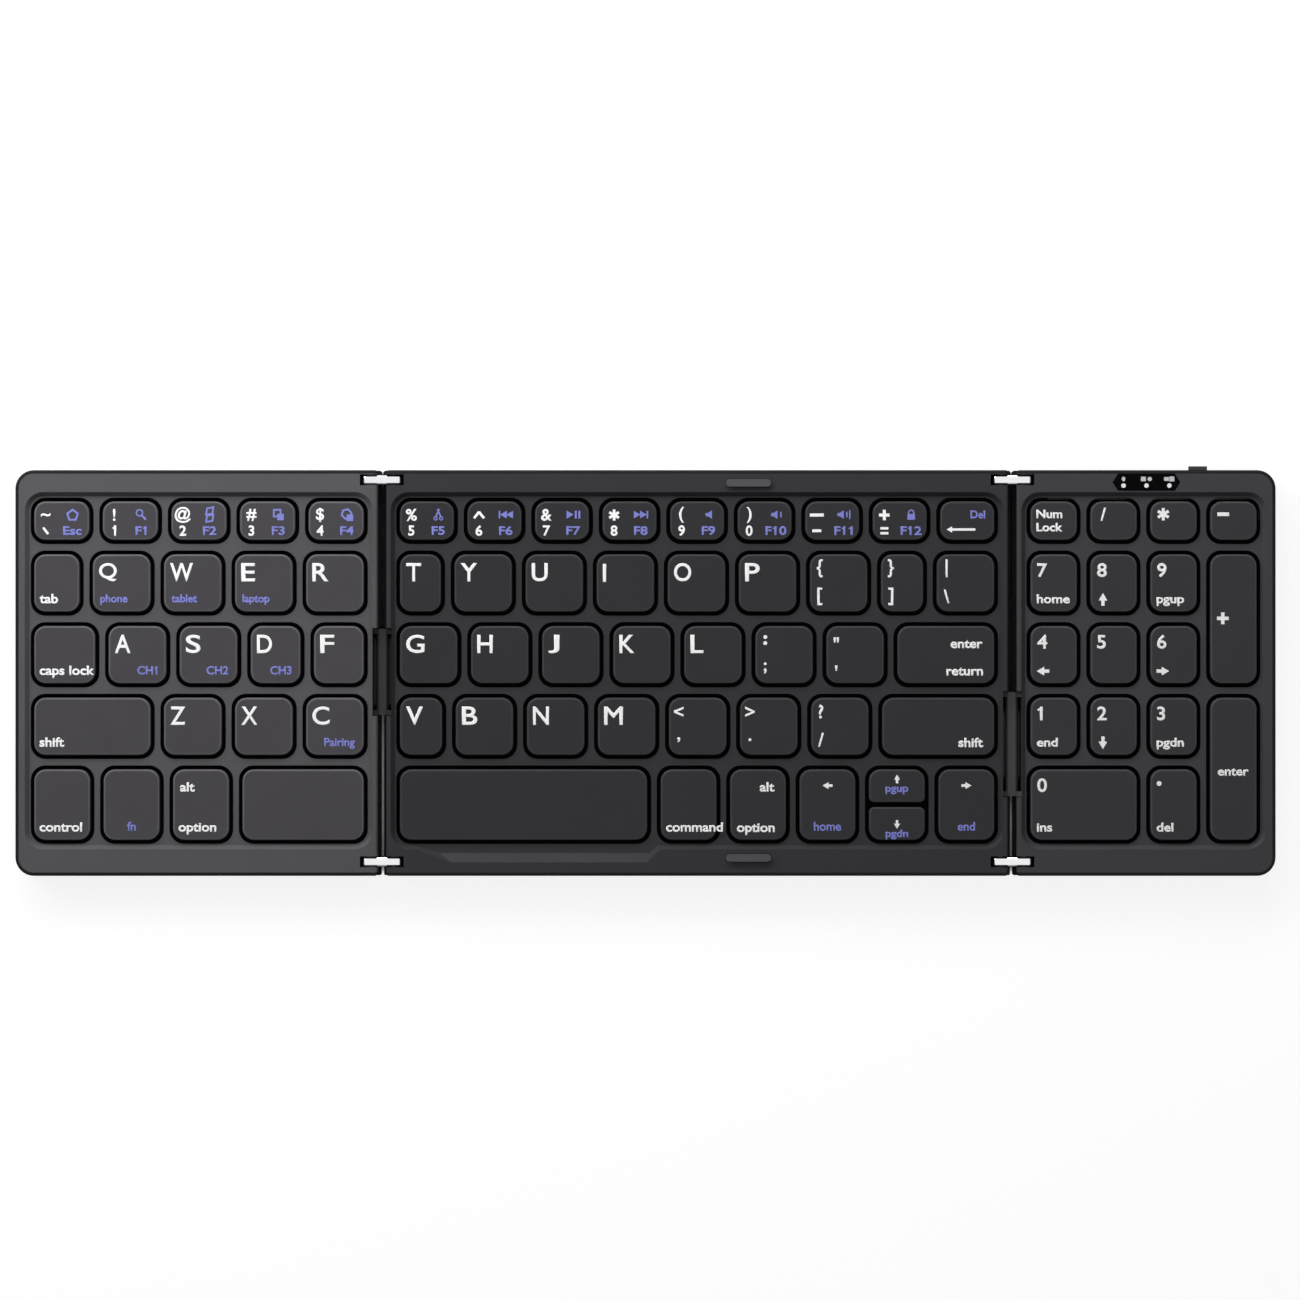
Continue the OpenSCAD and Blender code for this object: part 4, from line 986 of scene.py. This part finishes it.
class KEYBOARD_OT_hinges(bpy.types.Operator):
    """Replace the hinge links by soft-edged ones and finish pins, bridges and cables"""

    bl_idname = "keyboard.hinges"
    bl_label = "Hinges"

    def execute(self, context):
        sizes = context.scene.keyboard_sizes
        colours = context.scene.keyboard_colours
        # Zinc castings, polished and then plated with nickel and chromium: nearly a
        # mirror, with the faint waviness of hand polishing.
        chrome = grained(
            "polished_chrome_plate", colours.chrome, roughness=0.14, grain=1.2,
            pit=0.004, cloud=4, variation=0.02, metallic=1.0,
        )
        # Stainless steel pins, centreless ground: fine rings round the pin.
        ground = grained(
            "ground_stainless_steel", linear("#6c6c6f"), roughness=0.4, grain=0.5,
            pit=0.002, cloud=3, variation=0.05, metallic=1.0, stretch=(0.1, 6, 0.1),
        )
        # Acetal bridges, moulded smooth: dense, slightly waxy. The two are lit and shaded
        # copies of one acetal, the right one painted greyer for the light that falls on
        # it.
        acetal = {
            side: grained(
                f"smooth_moulded_acetal_{side}", linear(shade), roughness=0.4,
                grain=0.5, pit=0.003, cloud=6, variation=0.05, specular=0.3,
            )
            for side, shade in (("left", "#303031"), ("right", "#4b4b4d"))
        }
        # Flat cable under black polyimide coverlay: thin and satin.
        polyimide = grained(
            "black_polyimide_coverlay", linear("#101012"), roughness=0.4, grain=0.6,
            pit=0.002, cloud=5, variation=0.08, specular=0.2,
        )
        for side in ("left", "right"):
            for end in ("rear", "front"):
                node = f"{side}_{end}_link"
                bm = bmesh.new()
                box = solid_boxes(node)[0]
                cast_link(bm, box, sizes.link_end, sizes.link_edge)
                link = new_piece(
                    f"{node}_cast", bm, chrome, f"{side}_hinge"
                )
                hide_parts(node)
            dress(f"{side}_hinge_pins", ground)
            dress(f"{side}_cable_bridge", acetal[side])
            dress(f"{side}_flex_cable", polyimide)
        return {"FINISHED"}


class KEYBOARD_OT_switch_parts(bpy.types.Operator):
    """Finish the support plates, membranes, domes and scissor links"""

    bl_idname = "keyboard.switch_parts"
    bl_label = "Switch parts"

    def execute(self, context):
        # Cold rolled steel plate, blackened: dark and even, with faint rolling lines.
        plate = grained(
            "blackened_steel_sheet", linear("#0a0a0b"), roughness=0.7, grain=0.4,
            pit=0.003, cloud=12, variation=0.1, specular=0.1, stretch=(0.15, 3, 1),
        )
        # Polyester film with carbon print: near black and smooth.
        film = grained(
            "polyester_film", linear("#060607"), roughness=0.7, grain=0.8, pit=0.001,
            cloud=10, variation=0.1, specular=0.05,
        )
        # Silicone rubber, compression moulded: dull and a little dusty.
        silicone = grained(
            "moulded_silicone", linear("#101011"), roughness=0.8, grain=0.4, pit=0.003,
            cloud=3, variation=0.1, specular=0.1,
        )
        # Acetal scissor links, natural black, moulded smooth.
        scissor = grained(
            "scissor_acetal", linear("#0c0c0d"), roughness=0.6, grain=0.4, pit=0.002,
            cloud=3, variation=0.08, specular=0.15,
        )
        for side in SIDES:
            dress(f"{side}_support_plate", plate)
            dress(f"{side}_membrane", film)
            for part, finish, slot in (
                ("rubber_domes", silicone, "dome_rubber"),
                ("scissor_links", scissor, "scissor_plastic"),
            ):
                squash_under_keys(side, f"{side}_{part}", finish)
        return {"FINISHED"}


class KEYBOARD_OT_electronics(bpy.types.Operator):
    """Finish the battery, board, port, switch, status window and light pipes"""

    bl_idname = "keyboard.electronics"
    bl_label = "Electronics and status window"

    def execute(self, context):
        # Aluminium laminate pouch: soft silver with shallow wrinkles.
        pouch = grained(
            "aluminium_pouch_foil", linear("#b4b5b8"), roughness=0.32, grain=3,
            pit=0.05, cloud=8, variation=0.08, metallic=0.9,
        )
        # Glass epoxy board under green solder mask: glossy over a faint weave.
        board = grained(
            "green_solder_mask", linear("#123a22"), roughness=0.3, grain=0.5, pit=0.004,
            cloud=5, variation=0.15,
        )
        # Stamped stainless steel of the socket shell.
        socket = grained(
            "stamped_stainless_steel", linear("#a9abae"), roughness=0.28, grain=0.4,
            pit=0.003, cloud=3, variation=0.06, metallic=1.0, stretch=(3, 0.15, 1),
        )
        # Acrylic window, black behind and polished in front: a flat clear gloss.
        acrylic = grained(
            "polished_black_acrylic", linear("#030304"), roughness=0.2, grain=2,
            pit=0.001, cloud=6, variation=0.1, specular=0.03,
        )
        # Milky polycarbonate light pipes, frosted at their ends.
        frosted = grained(
            "frosted_polycarbonate", linear("#f6f7f8"), roughness=0.35, grain=0.3,
            pit=0.002, cloud=1, variation=0.02,
        )
        # Glass filled nylon of the slide switch and its knob, fine ridges of the tool.
        nylon = grained(
            "moulded_nylon", linear("#242426"), roughness=0.5, grain=0.4, pit=0.006,
            cloud=3, variation=0.08,
        )
        # Small grey signs printed behind the three lights, on top of the window.
        marks = grained(
            "screen_printed_grey", linear("#c9cacd"), roughness=0.5, grain=0.2,
            pit=0.001, cloud=1, variation=0.05,
        )
        lights = solid_boxes("light_pipes")
        window_top = solid_boxes("status_window")[0][1].z
        bm = bmesh.new()
        for (low, high), signs in zip(lights, WINDOW_SIGNS):
            for across, size, sides in signs:
                place = (
                    (low.x + high.x) / 2 + across * MM,
                    (low.y + high.y) / 2 + SIGN_BEHIND_LIGHT * MM,
                )
                disc(bm, (0, 0), 0.5, sides, math.pi / 4)
                bm.verts.ensure_lookup_table()
                made = bm.verts[-sides:]
                breadth = 1.0 if sides > 4 else math.sqrt(2)
                for vert in made:
                    vert.co.x = place[0] + vert.co.x * size[0] * breadth * MM
                    vert.co.y = place[1] + vert.co.y * size[1] * breadth * MM
                    vert.co.z = window_top
        ink = context.scene.keyboard_sizes.ink
        draw_out(bm, bm.faces[:], (0, 0, ink))
        bmesh.ops.translate(bm, vec=(0, 0, -ink / 2), verts=bm.verts)
        bmesh.ops.recalc_face_normals(bm, faces=bm.faces)
        new_piece("status_window_signs", bm, marks, "numpad_panel")
        dress("battery", pouch)
        dress("control_board", board)
        dress("charging_port", socket)
        dress("status_window", acrylic)
        dress("light_pipes", frosted)
        dress("power_switch", nylon)
        dress("power_switch_knob", nylon)
        return {"FINISHED"}


class KEYBOARD_OT_fittings(bpy.types.Operator):
    """Finish the feet, fold bumpers, screws and magnets"""

    bl_idname = "keyboard.fittings"
    bl_label = "Feet, bumpers and screws"

    def execute(self, context):
        # Thermoplastic rubber: matt, a little dusty, with a fine moulded grain.
        rubber = grained(
            "moulded_rubber", linear("#1a1a1b"), roughness=0.75, grain=0.45, pit=0.01,
            cloud=5, variation=0.12, specular=0.3, sheen=0.15,
        )
        bumper = grained(
            "moulded_grey_rubber", linear("#4a484b"), roughness=0.6, grain=0.45,
            pit=0.006, cloud=4, variation=0.06, specular=0.35,
        )
        # Steel screws with a black zinc plating: dark with a slight blue sheen.
        zinc = grained(
            "black_zinc_plated_steel", linear("#2a2b2f"), roughness=0.35, grain=0.3,
            pit=0.003, cloud=2, variation=0.15, metallic=0.9,
        )
        nickel = grained(
            "nickel_plated_magnet", linear("#c2bdb2"), roughness=0.22, grain=0.6,
            pit=0.002, cloud=3, variation=0.04, metallic=1.0,
        )
        for side in SIDES:
            dress(f"{side}_feet", rubber)
            dress(f"{side}_screws", zinc)
            dress(f"{side}_magnets", nickel)
        dress("fold_bumpers", bumper)
        return {"FINISHED"}


def area_light(name, place, size, power):
    """A soft box that faces the keyboard's middle and that the camera doesn't see."""
    lamp = bpy.data.lights.new(name, "AREA")
    lamp.shape = "RECTANGLE"
    lamp.size, lamp.size_y = size
    lamp.energy = power
    holder = bpy.data.objects.new(name, lamp)
    holder.visible_camera = False
    holder.location = place
    holder.rotation_euler = (-Vector(place)).to_track_quat("-Z", "Y").to_euler()
    bpy.context.scene.collection.objects.link(holder)


# Name of each soft box, its place and size in metres, and its power in watts.
SOFT_BOXES = (
    ("rear_strip_box", (-0.1, 0.31, 0.2), (0.8, 0.16), 2.3),
    ("left_soft_box", (-0.75, 0.45, 0.6), (0.45, 0.45), 2.0),
    ("front_soft_box", (0.45, -0.55, 0.7), (0.6, 0.6), 0.2),
)


def background_paper(rgb):
    """The floor's paper, which the camera sees white while the shadow stays."""
    # Matt, with fine fibres. Seen by the camera it gets a little light of its own.
    paper, tree, shader, place = start_material("white_background_paper")
    fibres = noise(tree, place, 2.5, 4.0)
    dark, light = shades(rgb, 0.985, 1.0)
    seen = add_node(tree, "ShaderNodeLightPath").outputs["Is Camera Ray"]
    # In the slits between the panels the paper is deep in shadow and isn't lifted.
    open_sky = add_node(
        tree, "ShaderNodeAmbientOcclusion", {"Distance": 8 * MM}, samples=12
    ).outputs["AO"]
    unshaded = mapped(tree, open_sky, 0.1, 0.45, to_max=0.86)
    feed(
        shader,
        {
            "Base Color": mixed(tree, fibres, dark, light),
            "Roughness": 0.9,
            "Specular IOR Level": 0.1,
            "Emission Strength": maths(tree, "MULTIPLY", seen, unshaded),
            "Emission Color": (1, 1, 1, 1),
        },
    )
    return paper


def studio_tent():
    """A tent that is bright overhead and dark near the floor.

    Polished metal sees it brighter than it lights the rest, and the camera sees plain
    white.
    """
    world = bpy.data.worlds.new("studio")
    world.use_nodes = True
    tree = world.node_tree
    tree.nodes.clear()
    rays = add_node(tree, "ShaderNodeLightPath").outputs
    mirrored = maths(
        tree, "MAXIMUM", rays["Is Glossy Ray"], rays["Is Transmission Ray"]
    )
    level = mapped(tree, mirrored, to_min=0.25)
    way = add_node(tree, "ShaderNodeTexCoord").outputs["Generated"]
    upward = add_node(tree, "ShaderNodeSeparateXYZ", {"Vector": way}).outputs["Z"]
    fade = mapped(tree, upward, 0.05, 0.75, to_min=0.06)
    tent = maths(tree, "MULTIPLY", level, fade)
    strength = maths(tree, "MAXIMUM", tent, rays["Is Camera Ray"])
    glow = add_node(
        tree, "ShaderNodeBackground", {"Color": (1, 1, 1, 1), "Strength": strength}
    ).outputs["Background"]
    add_node(tree, "ShaderNodeOutputWorld", {"Surface": glow})
    return world


# Half the width of the floor in metres.
FLOOR_REACH = 3


class KEYBOARD_OT_stage(bpy.types.Operator):
    """Set up the floor, the soft light and the camera straight above"""

    bl_idname = "keyboard.stage"
    bl_label = "Stage"

    def execute(self, context):
        scene = context.scene
        sizes = scene.keyboard_sizes
        bm = bmesh.new()
        bmesh.ops.create_grid(bm, x_segments=1, y_segments=1, size=FLOOR_REACH)
        mesh = bpy.data.meshes.new("floor")
        bm.to_mesh(mesh)
        bm.free()
        floor = bpy.data.objects.new("floor", mesh)
        scene.collection.objects.link(floor)
        mesh.materials.append(background_paper(scene.keyboard_colours.floor))
        scene.world = studio_tent()
        for soft_box in SOFT_BOXES:
            area_light(*soft_box)
        scene.view_settings.view_transform = "Standard"
        eye = bpy.data.cameras.new("camera")
        eye.sensor_width = 36
        eye.lens = eye.sensor_width * sizes.camera_height / sizes.view_width
        holder = bpy.data.objects.new("camera", eye)
        height = sizes.camera_height + sizes.rim_height
        holder.location = (sizes.view_x, sizes.view_y, height)
        scene.collection.objects.link(holder)
        scene.camera = holder
        return {"FINISHED"}


class KEYBOARD_PT_panel(bpy.types.Panel):
    """Lists the steps in the sidebar"""

    bl_idname = "KEYBOARD_PT_panel"
    bl_label = "Folding keyboard"
    bl_space_type = "VIEW_3D"
    bl_region_type = "UI"
    bl_category = "Keyboard"

    def draw(self, context):
        for step in STEPS:
            self.layout.operator(step.bl_idname)
        for group in (context.scene.keyboard_sizes, context.scene.keyboard_colours):
            box = self.layout.box()
            for name in group.__annotations__:
                box.prop(group, name)


STEPS = (
    KEYBOARD_OT_frames,
    KEYBOARD_OT_keycaps,
    KEYBOARD_OT_legends,
    KEYBOARD_OT_hinges,
    KEYBOARD_OT_switch_parts,
    KEYBOARD_OT_electronics,
    KEYBOARD_OT_fittings,
    KEYBOARD_OT_stage,
)
CLASSES = (KeyboardSizes, KeyboardColours, *STEPS, KEYBOARD_PT_panel)


def register():
    for cls in CLASSES:
        bpy.utils.register_class(cls)
    bpy.types.Scene.keyboard_sizes = PointerProperty(type=KeyboardSizes)
    bpy.types.Scene.keyboard_colours = PointerProperty(type=KeyboardColours)


def unregister():
    del bpy.types.Scene.keyboard_colours
    del bpy.types.Scene.keyboard_sizes
    for cls in reversed(CLASSES):
        bpy.utils.unregister_class(cls)


def main():
    """Registers the steps and runs them in order."""
    register()
    bpy.ops.keyboard.frames()
    bpy.ops.keyboard.keycaps()
    bpy.ops.keyboard.legends()
    bpy.ops.keyboard.hinges()
    bpy.ops.keyboard.switch_parts()
    bpy.ops.keyboard.electronics()
    bpy.ops.keyboard.fittings()
    bpy.ops.keyboard.stage()


if __name__ == "__main__":
    main()
